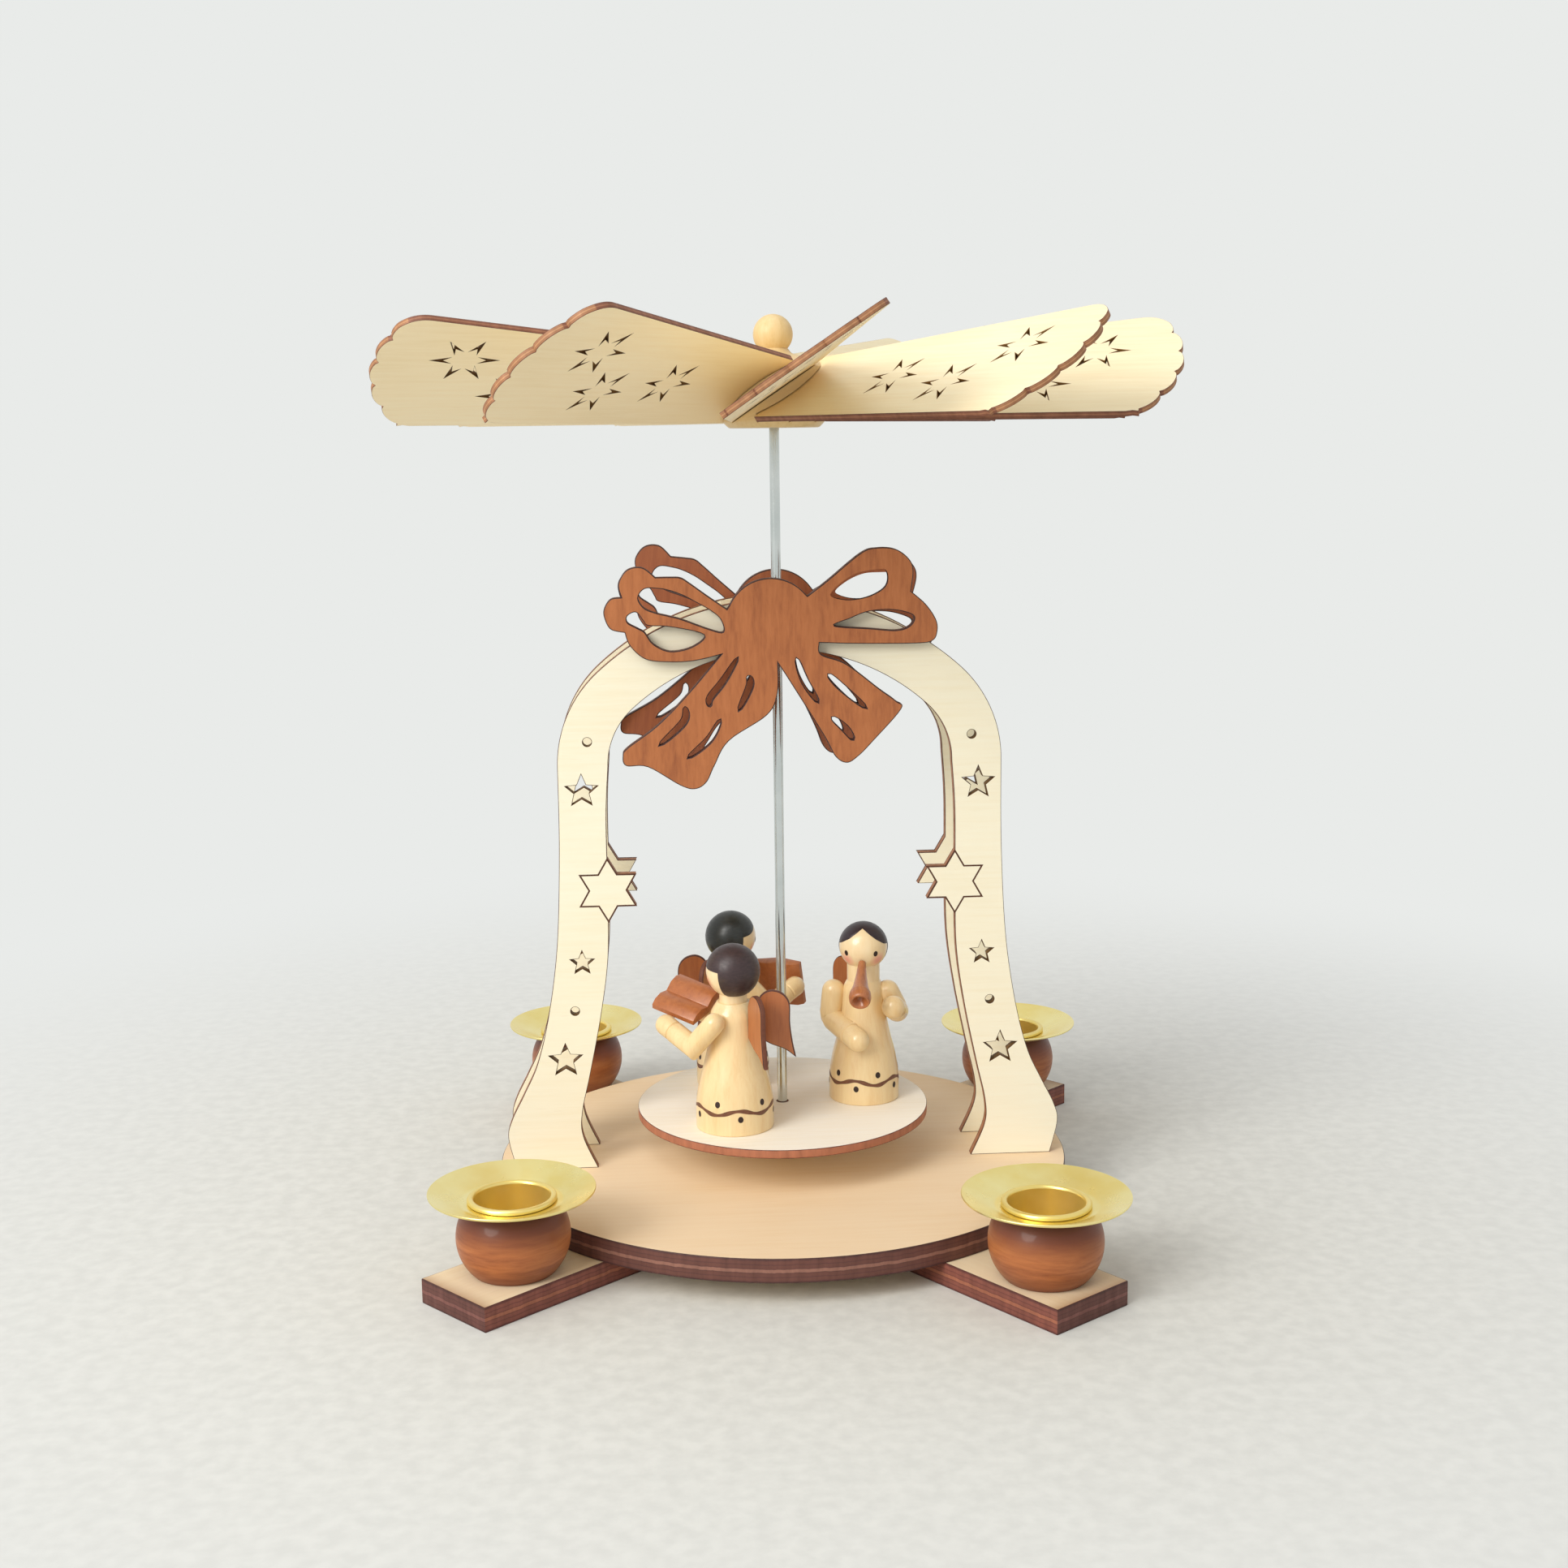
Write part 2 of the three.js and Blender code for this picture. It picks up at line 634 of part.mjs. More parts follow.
// Turns a thing drawn in the blade's plane to its slot in the hub
function slotMatrix(index) {
  const azimuth = rad(bladePhase) - Math.PI / 2 + index * 2 * Math.PI / bladeCount;
  return new THREE.Matrix4().makeTranslation(0, 0, hubBottom + slotCentreHeight)
    .multiply(new THREE.Matrix4().makeRotationZ(azimuth))
    .multiply(new THREE.Matrix4().makeRotationX(rad(bladePitch)));
}

function hubProfile() {
  const rimTop = hubBottom + hubRimHeight;
  const neckTop = rimTop + hubNeckHeight;
  const ballCentre = neckTop + Math.sqrt(finialRadius ** 2 - hubNeckRadius ** 2);
  const ease = hubNeckHeight / 2;
  const profile = [
    [0, hubBottom],
    [hubRadius - ease, hubBottom],
    [hubRadius, hubBottom + ease],
    [hubRadius, rimTop - ease],
    [hubRadius - ease, rimTop],
    [(hubRadius + hubNeckRadius) / 2, rimTop + ease / 2],
  ];
  const from = Math.asin((neckTop - ballCentre) / finialRadius);
  for (let i = 0; i <= ballSteps; i += 1) {
    const angle = from + (Math.PI / 2 - from) * i / ballSteps;
    const radius = i === ballSteps ? 0 : finialRadius * Math.cos(angle);
    profile.push([radius, ballCentre + finialRadius * Math.sin(angle)]);
  }
  return profile;
}

function addWheel() {
  let hub = solidOf(turned(hubProfile(), 2 * bladeCount));
  const bore = new THREE.CylinderGeometry(
    spindleRadius + glueGap,
    spindleRadius + glueGap,
    spindleSeat + glueGap + overrun,
    boreSides,
  );
  bore.rotateX(Math.PI / 2);
  bore.translate(0, 0, (spindleTop + glueGap + hubBottom - overrun) / 2);
  hub = hub.subtract(solidOf(bore));
  const slotLength = hubRadius + overrun;
  const slot = new THREE.BoxGeometry(slotLength, 2 * bladeTipChord, bladeThickness + 2 * glueGap);
  slot.translate(bladeRootRadius - glueGap + slotLength / 2, 0, 0);
  for (let i = 0; i < bladeCount; i += 1) {
    hub = hub.subtract(solidOf(slot.clone().applyMatrix4(slotMatrix(i))));
  }
  place(carousel, 'rotor_hub', geometryOf(hub), 'birch');
  for (let i = 0; i < bladeCount; i += 1) {
    const blade = place(carousel, `blade_${String(i + 1).padStart(2, '0')}`, bladeGeometry(), 'birch');
    blade.applyMatrix4(slotMatrix(i));
  }
}

// Angel's skirt and bodice: shares of the foot's radius and of the body's height
const bodyShares = [
  [1, 0], [1, 0.155], [0.975, 0.245], [0.89, 0.382], [0.75, 0.536], [0.65, 0.686], [0.615, 0.817],
  [0.58, 0.915], [0.42, 1],
];

function bodyGeometry(bodyRadius, grow) {
  const profile = bodyShares.map(([out, up]) => [bodyRadius * out + grow, bodyHeight * up]);
  return turned([[0, 0], ...profile, [0, bodyHeight]], figureSides);
}

function headGeometry(headRadius) {
  const centre = figureHeight - headRadius;
  const from = -Math.acos(neckRadius / headRadius);
  const profile = [[0, bodyHeight + glueGap], [neckRadius, bodyHeight + glueGap]];
  for (let i = 0; i <= ballSteps; i += 1) {
    const angle = from + (Math.PI / 2 - from) * i / ballSteps;
    const radius = i === ballSteps ? 0 : headRadius * Math.cos(angle);
    profile.push([radius, centre + headRadius * Math.sin(angle)]);
  }
  return turned(profile, figureSides);
}

// Jointed limb: a dowel through three points with a mitred elbow and rounded ends
function limb(points, radius, sides) {
  const [from, elbow, to] = points.map((point) => new THREE.Vector3(...point));
  const upper = elbow.clone().sub(from).normalize();
  const lower = to.clone().sub(elbow).normalize();
  const square = new THREE.Vector3().crossVectors(upper, lower).normalize();
  const rings = [];
  const ring = (centre, along, normal, reach) => {
    const across = new THREE.Vector3().crossVectors(square, along).normalize();
    const list = [];
    for (let i = 0; i < sides; i += 1) {
      const angle = 2 * Math.PI * i / sides;
      const point = centre.clone()
        .addScaledVector(square, reach * Math.cos(angle))
        .addScaledVector(across, reach * Math.sin(angle));
      const slide = centre.clone().sub(point).dot(normal) / along.dot(normal);
      list.push(point.addScaledVector(along, slide));
    }
    rings.push(list);
  };
  const endShares = [[0.95, 0.3], [0.6, 0.8], [0, 1]];
  for (const [back, reach] of endShares) {
    ring(from.clone().addScaledVector(upper, -back * radius), upper, upper, reach * radius);
  }
  ring(elbow, upper, upper.clone().add(lower).normalize(), radius);
  for (const [back, reach] of endShares.slice().reverse()) {
    ring(to.clone().addScaledVector(lower, back * radius), lower, lower, reach * radius);
  }
  const vertices = rings.flat().flatMap((point) => [point.x, point.y, point.z]);
  const triangles = [];
  for (let r = 0; r + 1 < rings.length; r += 1) {
    for (let i = 0; i < sides; i += 1) {
      const next = (i + 1) % sides;
      const [a, b] = [r * sides + i, r * sides + next];
      const [c, d] = [a + sides, b + sides];
      triangles.push(a, d, b, a, c, d);
    }
  }
  const last = (rings.length - 1) * sides;
  for (let i = 1; i + 1 < sides; i += 1) {
    triangles.push(0, i, i + 1);
    triangles.push(last, last + i + 1, last + i);
  }
  const geometry = new THREE.BufferGeometry();
  geometry.setAttribute('position', new THREE.Float32BufferAttribute(vertices, 3));
  geometry.setIndex(triangles);
  return geometry;
}

// Arms beside the body. Places of elbow and hand as shares of the shoulder's distance from the
// body's middle (across and forward) and of its height.
const armShares = {
  resting: { elbow: [1.02, 0.1, 0.74], hand: [0.12, -1.14, 0.63] },
  raised: { elbow: [1.04, 0.2, 0.78], hand: [0.98, -0.85, 0.85] },
  reaching: { elbow: [1.04, -0.86, 0.76], hand: [0.86, -1.72, 0.9] },
};

const armOut = (bodyRadius) => bodyRadius * bodiceShare + armRadius + glueGap;

function armGeometry(bodyRadius, side, pose) {
  const out = armOut(bodyRadius);
  const at = ([across, forward, up]) => [side * across * out, forward * out, up * shoulderHeight];
  const { elbow, hand } = armShares[pose];
  const arm = solidOf(limb([at([1, 0, 1]), at(elbow), at(hand)], armRadius, boreSides - 4));
  return geometryOf(arm.subtract(solidOf(bodyGeometry(bodyRadius, glueGap))));
}

// Wing: rounded at the top, pointed at its lower outer tip. Shares of its width and height.
const wingShares = [
  [0, 0.8], [0.16, 0.94], [0.4, 1], [0.68, 0.95], [0.85, 0.8], [0.86, 0.5], [0.92, 0.22], [1, 0],
  [0.72, 0.12], [0.36, 0.2], [0, 0.32],
];

function wingGeometry(bodyRadius, side, turn) {
  const points = wingShares.map(([out, up]) => new THREE.Vector2(out * wingWidth, up * wingHeight));
  const wing = plate(new THREE.Shape(points), wingThickness);
  wing.translate(0, 0, -wingThickness / 2);
  wing.rotateX(Math.PI / 2);
  wing.rotateZ(Math.PI / 2 - side * rad(wingSpread));
  wing.translate(side * wingThickness, bodyRadius * bodiceShare, wingBottom);
  wing.rotateZ(rad(turn));
  return geometryOf(solidOf(wing).subtract(solidOf(bodyGeometry(bodyRadius, glueGap))));
}

// Horn: shares of its length and of its bell's radius past the mouthpiece's
const hornShares = [[0, 0], [0.6, 0.5], [0.76, 0.9], [0.88, 1], [1, 0.9]];
const hornPitShare = 0.8;
const mouthShare = 0.5; // how far the mouth lies below the head's middle, as a share of its radius

function hornGeometry(headRadius) {
  const flare = hornBellRadius - hornMouthRadius;
  const outer = hornShares.map(([along, wide]) => [hornMouthRadius + wide * flare, along * hornLength]);
  const pit = [[hornBellRadius * hornPitShare, hornLength], [0, hornLength * hornPitShare]];
  const drop = headRadius * mouthShare;
  const face = Math.sqrt(headRadius ** 2 - drop ** 2) + glueGap;
  const horn = turned([[0, 0], ...outer, ...pit], boreSides);
  horn.rotateX(Math.PI / 2 + rad(hornDroop));
  horn.translate(0, -face, figureHeight - headRadius - drop);
  return horn;
}

// Open book: two swelling page blocks on a spine that runs along the book. Shares of its width
// and of its thickness.
const bookShares = [
  [0, -0.5], [0.5, 0.1], [0.48, 0.6], [0.36, 0.95], [0.18, 0.95], [0, 0.45], [-0.18, 0.95], [-0.36, 0.95],
  [-0.48, 0.6], [-0.5, 0.1],
];

function bookGeometry(tilt, roll, yaw) {
  const points = bookShares.map(([across, up]) => new THREE.Vector2(across * bookWidth, up * bookThickness));
  const book = plate(new THREE.Shape(points), bookLength);
  book.translate(0, 0, -bookLength / 2);
  book.rotateX(Math.PI / 2);
  book.rotateY(rad(roll));
  book.rotateX(rad(tilt));
  book.rotateZ(rad(yaw));
  return book;
}

// How each book is held: degrees, and shares of the arm's distance and of the shoulder's height
const bookHoldShares = {
  angel_b: { tilt: -11, roll: 29, yaw: 0, forward: -1.6, up: 1.06 },
  angel_c: { tilt: -110, roll: 0, yaw: 39, forward: -1.82, up: 0.9 },
};

function addFigure({ name, place: angle, turn, wings, bodyRadius, headRadius, holds }) {
  const figure = new THREE.Group();
  const at = rad(angle);
  figure.position.set(figureOrbit * Math.cos(at), figureOrbit * Math.sin(at), turntableTop);
  figure.rotation.z = at + rad(turn);
  carousel.add(figure);
  place(figure, `${name}_body`, bodyGeometry(bodyRadius, 0), 'varnish');
  place(figure, `${name}_head`, headGeometry(headRadius), 'varnish');
  const poses = holds === 'horn' ? ['resting', 'raised'] : ['reaching', 'reaching'];
  place(figure, `${name}_arm_right`, armGeometry(bodyRadius, -1, poses[0]), 'varnish');
  place(figure, `${name}_arm_left`, armGeometry(bodyRadius, 1, poses[1]), 'varnish');
  place(figure, `${name}_wing_right`, wingGeometry(bodyRadius, -1, wings), 'wing');
  place(figure, `${name}_wing_left`, wingGeometry(bodyRadius, 1, wings), 'wing');
  if (holds === 'horn') {
    place(figure, `${name}_horn`, hornGeometry(headRadius), 'wing');
    return;
  }
  const { tilt, roll, yaw, forward, up } = bookHoldShares[name];
  const book = bookGeometry(tilt, roll, yaw);
  book.translate(0, forward * armOut(bodyRadius), up * shoulderHeight);
  place(figure, `${name}_book`, book, 'wing');
}

addCross();
addBase();
const candleTurns = { front_left: lowerBarTurn + 180, front_right: upperBarTurn, rear_right: lowerBarTurn };
candleTurns.rear_left = upperBarTurn + 180;
for (const [name, turn] of Object.entries(candleTurns)) addCandle(name, rad(turn));
addArches();
addBows();
addSpindle();
addWheel();
for (const figure of figures) addFigure(figure);

export default group;
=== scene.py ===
import bpy
import bmesh
import math
from mathutils import Matrix, Vector


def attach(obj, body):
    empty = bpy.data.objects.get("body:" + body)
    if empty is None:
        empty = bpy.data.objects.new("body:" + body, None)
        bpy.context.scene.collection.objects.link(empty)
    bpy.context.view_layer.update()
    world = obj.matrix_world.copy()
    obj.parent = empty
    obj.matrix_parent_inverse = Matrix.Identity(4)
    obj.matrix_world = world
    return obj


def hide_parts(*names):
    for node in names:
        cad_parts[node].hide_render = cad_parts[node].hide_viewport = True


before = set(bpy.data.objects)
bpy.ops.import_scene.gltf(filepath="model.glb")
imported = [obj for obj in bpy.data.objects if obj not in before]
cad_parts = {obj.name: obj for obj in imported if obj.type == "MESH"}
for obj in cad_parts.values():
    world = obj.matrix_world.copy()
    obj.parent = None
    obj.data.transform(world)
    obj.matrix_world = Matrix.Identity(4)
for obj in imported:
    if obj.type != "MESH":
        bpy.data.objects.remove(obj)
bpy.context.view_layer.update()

# Lengths are millimetres in each piece's own frame. Meshes are scaled to metres when placed.
MM = 0.001
X, Y, Z = "X", "Y", "Z"
# Upright share of a facet's normal from which it counts as a plate's face
FLAT = 0.97
TO_METRES = Matrix.Diagonal((MM, MM, MM, 1))
TO_MILLIMETRES = Matrix.Diagonal((1 / MM, 1 / MM, 1 / MM, 1))

# Sizes that the pieces share with the CAD model
bar_length, bar_thick = 216, 6
lower_turn, upper_turn = 41.8, -53.4
base_radius, base_thick = 74, 6
base_top = bar_thick + base_thick
ply = 3
arch_spacing, arch_height, band_width, half_span = 14.4, 146.2, 12.7, 56
crown_radius, shoulder_radius, foot_flare, foot_tuck = 67.7, 32, 15.4, 9
leg_star, leg_hole, big_star = 4.3, 1.1, 8.3
bow_half, knot_radius, bow_drop, slot_width = 41.5, 11.2, 5.9, 1.7
front_bow_aside, rear_bow_aside, rear_bow_lift, rear_bow_lean = -2.2, 0.5, 0.7, 6.3
table_radius, table_thick, table_lift = 38, 2.2, 10.8
table_bottom = base_top + table_lift
table_top = table_bottom + table_thick
blade_thick, blade_pitch, blade_phase = 1.5, 33.7, -3.4
blades, dart_reach, scallops, scallop_depth, tip_corner = 10, 8, 5, 1.35, 4.2
root_radius, root_chord, tip_radius, tip_chord, tip_bulge = 7.4, 26.3, 92, 42.2, 8
hub_radius, hub_bottom, hub_rim, slot_centre = 12.7, 200, 16.2, 9.3
neck_radius, neck_height, finial_radius = 3.6, 3.2, 4.95
candle_inset = {"front_left": 18, "front_right": 14.5, "rear_right": 12.5, "rear_left": 12.5}
candle_turn = {"front_left": lower_turn + 180, "front_right": upper_turn, "rear_right": lower_turn,
               "rear_left": upper_turn + 180}
# Name, place round the axis, turn on the spot, turn of the wings, radii of the body and the head
figures = [
    ("angel_a", 6, -15, 12, 9.2, 6.3),
    ("angel_b", -127, -1, 0, 9.9, 6.75),
    ("angel_c", 124, -4, 0, 9.8, 6.7),
]
orbit, body_height, figure_height, arm_radius, shoulder_height = 22, 32.6, 47.2, 2.7, 28.6
bodice_share, wing_thick, horn_neck, book_neck = 0.61, 1.3, 4.3, 3.5


# Colours

def colour(code):
    channels = [int(code[i:i + 2], 16) / 255 for i in (1, 3, 5)]
    return [c / 12.92 if c <= 0.04045 else ((c + 0.055) / 1.055) ** 2.4 for c in channels] + [1]


class Graph:
    """Node tree of a material or world, with short ways to add nodes and wire them."""

    def __init__(self, owner, shader, **values):
        owner.use_nodes = True
        self.owner, self.nodes, self.links = owner, owner.node_tree.nodes, owner.node_tree.links
        self.shader = self.nodes[shader]
        for socket, value in values.items():
            self.shader.inputs[socket.replace("_", " ")].default_value = value

    def add(self, kind, inputs=None, **settings):
        node = self.nodes.new(kind)
        for key, value in settings.items():
            setattr(node, key, value)
        for socket, value in (inputs or {}).items():
            self.plug(value, node.inputs[socket])
        return node

    def plug(self, value, socket):
        if hasattr(value, "links"):
            self.links.new(value, socket)
        else:
            socket.default_value = value

    def ramp(self, factor, stops):
        node = self.add("ShaderNodeValToRGB", {"Fac": factor})
        elements = node.color_ramp.elements
        while len(elements) < len(stops):
            elements.new(0.5)
        for element, (place, code) in zip(elements, stops):
            element.position = place
            element.color = colour(code)
        return node.outputs["Color"]

    def math(self, operation, a, b=0.0):
        return self.add("ShaderNodeMath", {0: a, 1: b}, operation=operation).outputs[0]

    def blend(self, a, b, share):
        return self.math("ADD", self.math("MULTIPLY", a, share), self.math("MULTIPLY", b, 1 - share))

    def span(self, value, low, high, start=0.0, end=1.0):
        return self.add("ShaderNodeMapRange", {"Value": value, "From Min": low, "From Max": high,
                                               "To Min": start, "To Max": end}).outputs["Result"]

    def mix(self, factor, a, b, blend="MIX"):
        a, b = (colour(v) if isinstance(v, str) else v for v in (a, b))
        return self.add("ShaderNodeMix", {"Factor": factor, 6: a, 7: b}, data_type="RGBA",
                        blend_type=blend).outputs[2]

    def show_backdrop(self, kind, output, share=None):
        """Puts the backdrop's plain tone over the shader, by share, where the camera or a gloss sees it."""
        ray = self.add("ShaderNodeLightPath").outputs
        seen = self.math("MAXIMUM", ray["Is Camera Ray"], ray["Is Glossy Ray"])
        factor = self.math("MULTIPLY", seen, share) if share else seen
        tone = self.add(kind, {"Color": colour("#E9EBE9")})
        mixed = self.add("ShaderNodeMixShader", {0: factor, 1: self.shader.outputs[0], 2: tone.outputs[0]})
        self.plug(mixed.outputs[0], self.nodes[output].inputs["Surface"])


class Surface(Graph):
    """A node material that reads each piece's own millimetre coordinates."""

    def __init__(self, name, **values):
        super().__init__(bpy.data.materials.new(name), "Principled BSDF", **values)
        self.loc = self.add("ShaderNodeAttribute", attribute_name="loc").outputs["Vector"]

    def noise(self, factors, detail, rough=0.55, distortion=0.0):
        scaled = self.add("ShaderNodeMapping", {"Vector": self.loc, "Scale": factors})
        return self.add("ShaderNodeTexNoise", {
            "Vector": scaled.outputs["Vector"], "Scale": 1, "Detail": detail, "Roughness": rough,
            "Distortion": distortion}).outputs["Fac"]

    def part(self, axis):
        return self.add("ShaderNodeSeparateXYZ", {0: self.loc}).outputs[axis]

    def finish(self, tone, relief, rough_low, rough_high, depth=0):
        """Colour, and a roughness and relief that follow one noise. Returns the material."""
        self.plug(tone, self.shader.inputs["Base Color"])
        self.plug(self.span(relief, 0.3, 0.7, rough_low, rough_high), self.shader.inputs["Roughness"])
        if depth:
            bump = self.add("ShaderNodeBump", {"Strength": 1, "Distance": depth * MM, "Height": relief})
            self.plug(bump.outputs["Normal"], self.shader.inputs["Normal"])
        return self.owner


def plywood_face(name, light, middle, dark, grain=(0.05, 0.9, 0.9), painted_hub_glow=None, scorched=0):
    """Pale veneer: long faint fibres along x, a few darker flecks and a slow change of tone."""
    s = Surface(name)
    fibres = s.noise(grain, 4, 0.6)
    slow = s.noise((0.02, 0.03, 0.03), 2)
    base = s.ramp(s.blend(fibres, slow, 0.5), [(0.34, dark), (0.5, middle), (0.66, light)])
    flecks = s.span(s.noise(tuple(g * 3 for g in grain), 2, 0.5), 0.68, 0.76)
    tone = s.mix(s.math("MULTIPLY", flecks, 0.1), base, "#B98F5E")
    # Painted glow: a warmer tone towards the blade's root, standing in for light bounced between the blades
    # and the hub.
    if painted_hub_glow:
        reach, code = painted_hub_glow
        tone = s.mix(s.math("POWER", s.span(s.part(0), reach, root_radius + 0.6), 1.5), tone, code)
    if scorched:
        near = s.span(s.math("ABSOLUTE", s.part(0)), scorched - 5, scorched)
        tone = s.mix(s.math("MULTIPLY", s.math("POWER", near, 1.5), 0.75), tone, "#A87C56")
    return s.finish(tone, fibres, 0.68, 0.58, 0.015)


def plywood_edge(name, thick, dark, middle, light, line, plies=3):
    """Laser-cut edge: burnt plies in bands across the thickness, with fine upright streaks."""
    s = Surface(name)
    wander = s.math("MULTIPLY", s.math("SUBTRACT", s.noise((0.4, 0.4, 0.1), 2), 0.5), 0.1)
    level = s.math("ADD", s.math("DIVIDE", s.part(2), thick), wander)
    start, step, fade = 0.08, 0.84 / plies, 0.03
    stops = [(0.0, line), (0.07, dark)]
    for i in range(plies):
        low = start + i * step
        tone = light if i == plies // 2 else middle
        stops += [(low + fade, tone), (low + step - fade, tone)]
        if i + 1 < plies:
            stops.append((low + step, dark))
    bands = s.ramp(level, stops + [(0.93, dark), (1.0, line)])
    streaks = s.noise((0.55, 0.55, 0.12), 4, 0.55)
    streaked = s.ramp(streaks, [(0.3, "#B8B8B8"), (0.7, "#FFFFFF")])
    return s.finish(s.mix(0.6, bands, streaked, "MULTIPLY"), streaks, 0.7, 0.52, 0.03)


def stained(name, light, middle, dark, rough, coat=0.0, grain=(0.9, 0.1, 0.9), foot=None):
    """Stained wood with streaks along the slow axis of its grain, with painted shade towards the foot if
    named.
    """
    s = Surface(name, Coat_Weight=coat, Coat_Roughness=0.12)
    streaks = s.noise(grain, 6, 0.62, 0.3)
    broad = s.noise(tuple(g * 0.22 for g in grain), 2)
    tone = s.ramp(s.blend(streaks, broad, 0.6), [(0.3, dark), (0.5, middle), (0.7, light)])
    if foot:
        start, end, code = foot
        # Painted shade: the tone darkens towards the foot, where another piece shades it.
        tone = s.mix(s.math("MULTIPLY", s.span(s.part(1), start, end), 0.85), tone, code)
    return s.finish(tone, streaks, rough + 0.05, rough - 0.04, 0.008)


def turned_wood(name, light, middle, dark, rough, coat, rings=(0.04, 0.04, 0.3), painted_shade_bands=(), **values):
    """Turned wood: grain lying across the axis, and painted shade in other tones between named heights."""
    s = Surface(name, Coat_Weight=coat, Coat_Roughness=0.08, **values)
    bands = s.noise(rings, 4, 0.6, 0.5)
    fine = s.noise(tuple(r * 5 for r in rings), 4, 0.65)
    tone = s.ramp(s.blend(bands, fine, 0.65), [(0.32, dark), (0.5, middle), (0.68, light)])
    # Painted shade, mixed in between the named heights.
    for low, high, code in painted_shade_bands:
        tone = s.mix(s.math("MULTIPLY", s.span(s.part(2), low, high), 0.9), tone, code)
    return s.finish(tone, fine, rough + 0.05, rough - 0.04, 0.005)


def metal(name, light, dark, rough, spread, streak, **values):
    """Metal with faint turning or drawing lines and a little uneven polish."""
    s = Surface(name, **{"Metallic": 1.0, **values})
    lines = s.noise(streak, 3, 0.6)
    haze = s.noise((0.08, 0.08, 0.08), 3)
    return s.finish(s.mix(s.span(haze, 0.35, 0.65), light, dark), lines, rough - spread, rough + spread)


def head_wood(name):
    """Varnished head with a soft blush on both cheeks."""
    cheek_aside, cheek_forward, cheek_height = 4.3, 4.2, figure_height - 9.4
    s = Surface(name, Coat_Weight=0.45, Coat_Roughness=0.1)
    fine = s.noise((0.6, 0.6, 0.08), 4, 0.6)
    tone = s.ramp(fine, [(0.3, "#EED2A0"), (0.5, "#F2D8AA"), (0.7, "#F5DEB4")])
    for side in (-1, 1):
        cheek = (side * cheek_aside, -cheek_forward, cheek_height)
        away = s.add("ShaderNodeVectorMath", {0: s.loc, 1: cheek}, operation="DISTANCE").outputs["Value"]
        tone = s.mix(s.math("MULTIPLY", s.span(away, 2.6, 0.6), 0.75), tone, "#EE8E86")
    return s.finish(tone, fine, 0.36, 0.28, 0.01)


def paint_film(name, code, deep, rough):
    """Brushed paint: one colour that varies a little with the strokes."""
    s = Surface(name)
    strokes = s.noise((0.9, 0.9, 2.4), 4, 0.6)
    tone = s.mix(s.span(strokes, 0.3, 0.7), code, deep)
    return s.finish(tone, strokes, rough - 0.05, rough + 0.07, 0.012)


birch = plywood_face("birch_veneer", "#F7F2DC", "#F6EFD7", "#F3EACE")
birch_bar = plywood_face("birch_bar", "#F3E2C2", "#F0DDBB", "#EAD3AC", scorched=bar_length / 2)
# Blade veneers: the warm tone towards the root is a painted glow of light bounced off the hub and the other
# blades.
birch_top = plywood_face("birch_blade_top", "#F2E7C6", "#EFE1BC", "#EAD9B2", painted_hub_glow=(28, "#FADCA6"))
# Blade undersides: a lighter, warmer copy of the blade veneer, painted bounce light on the shaded side, with
# a wider painted glow at the root.
birch_under_painted_bounce = plywood_face("birch_blade_under", "#FDF0CF", "#FBEBC7", "#F6E4BC", painted_hub_glow=(56, "#FFE4B0"))
birch_pale = plywood_face("birch_turntable", "#FBF6EC", "#FAF3E6", "#F5ECDA")
birch_warm = plywood_face("birch_base", "#EFD7B6", "#EDD3B0", "#E9CCA4", grain=(0.03, 0.5, 0.5))
edge_arch = plywood_edge("burnt_edge_arch", ply, "#6E3D2A", "#A06A46", "#BC8058", "#4A2A22")
edge_blade = plywood_edge("burnt_edge_blade", blade_thick, "#86543C", "#B07A54", "#CB9468", "#6A4030")
edge_blade_side = plywood_edge("burnt_side_blade", blade_thick, "#6B4030", "#8A5640", "#A87052", "#5A3428")
hole_wall = plywood_edge("burnt_hole", ply, "#64400F", "#75501C", "#87602A", "#4E300C")
edge_base = plywood_edge("burnt_edge_base", base_thick, "#5A3430", "#6E4238", "#9A6A5A", "#42241E", 5)
edge_bar = plywood_edge("burnt_edge_bar", bar_thick, "#6A3830", "#8A4E40", "#A8664C", "#5A2C28", 5)
edge_bar_end = plywood_edge("burnt_end_bar", bar_thick, "#58322C", "#6A3E36", "#84524A", "#442620", 5)
edge_table = plywood_edge("burnt_edge_table", table_thick, "#7A3E30", "#B06A50", "#BC7656", "#5A2E26", 1)
bow_face = stained("stained_bow", "#BC7444", "#AE683A", "#93522D", 0.55, grain=(1.1, 0.16, 1.1))
# Rear bow: a darker copy of the front bow's stain, painted shade, darkening further towards its foot as
# painted shadow of the front bow.
bow_shade = stained("stained_bow_rear", "#AE6A42", "#A25E3C", "#8C4E34", 0.6, foot=(3, -5, "#6C4036"))
bow_edge = plywood_edge("burnt_edge_bow", ply, "#452420", "#5E332A", "#704034", "#32191A")
wing_face = stained("stained_wing", "#BC7442", "#AE683C", "#9A5832", 0.4, 0.2)
wing_edge = plywood_edge("burnt_edge_wing", wing_thick, "#4A2622", "#66372C", "#76432F", "#3A1E1C", 1)
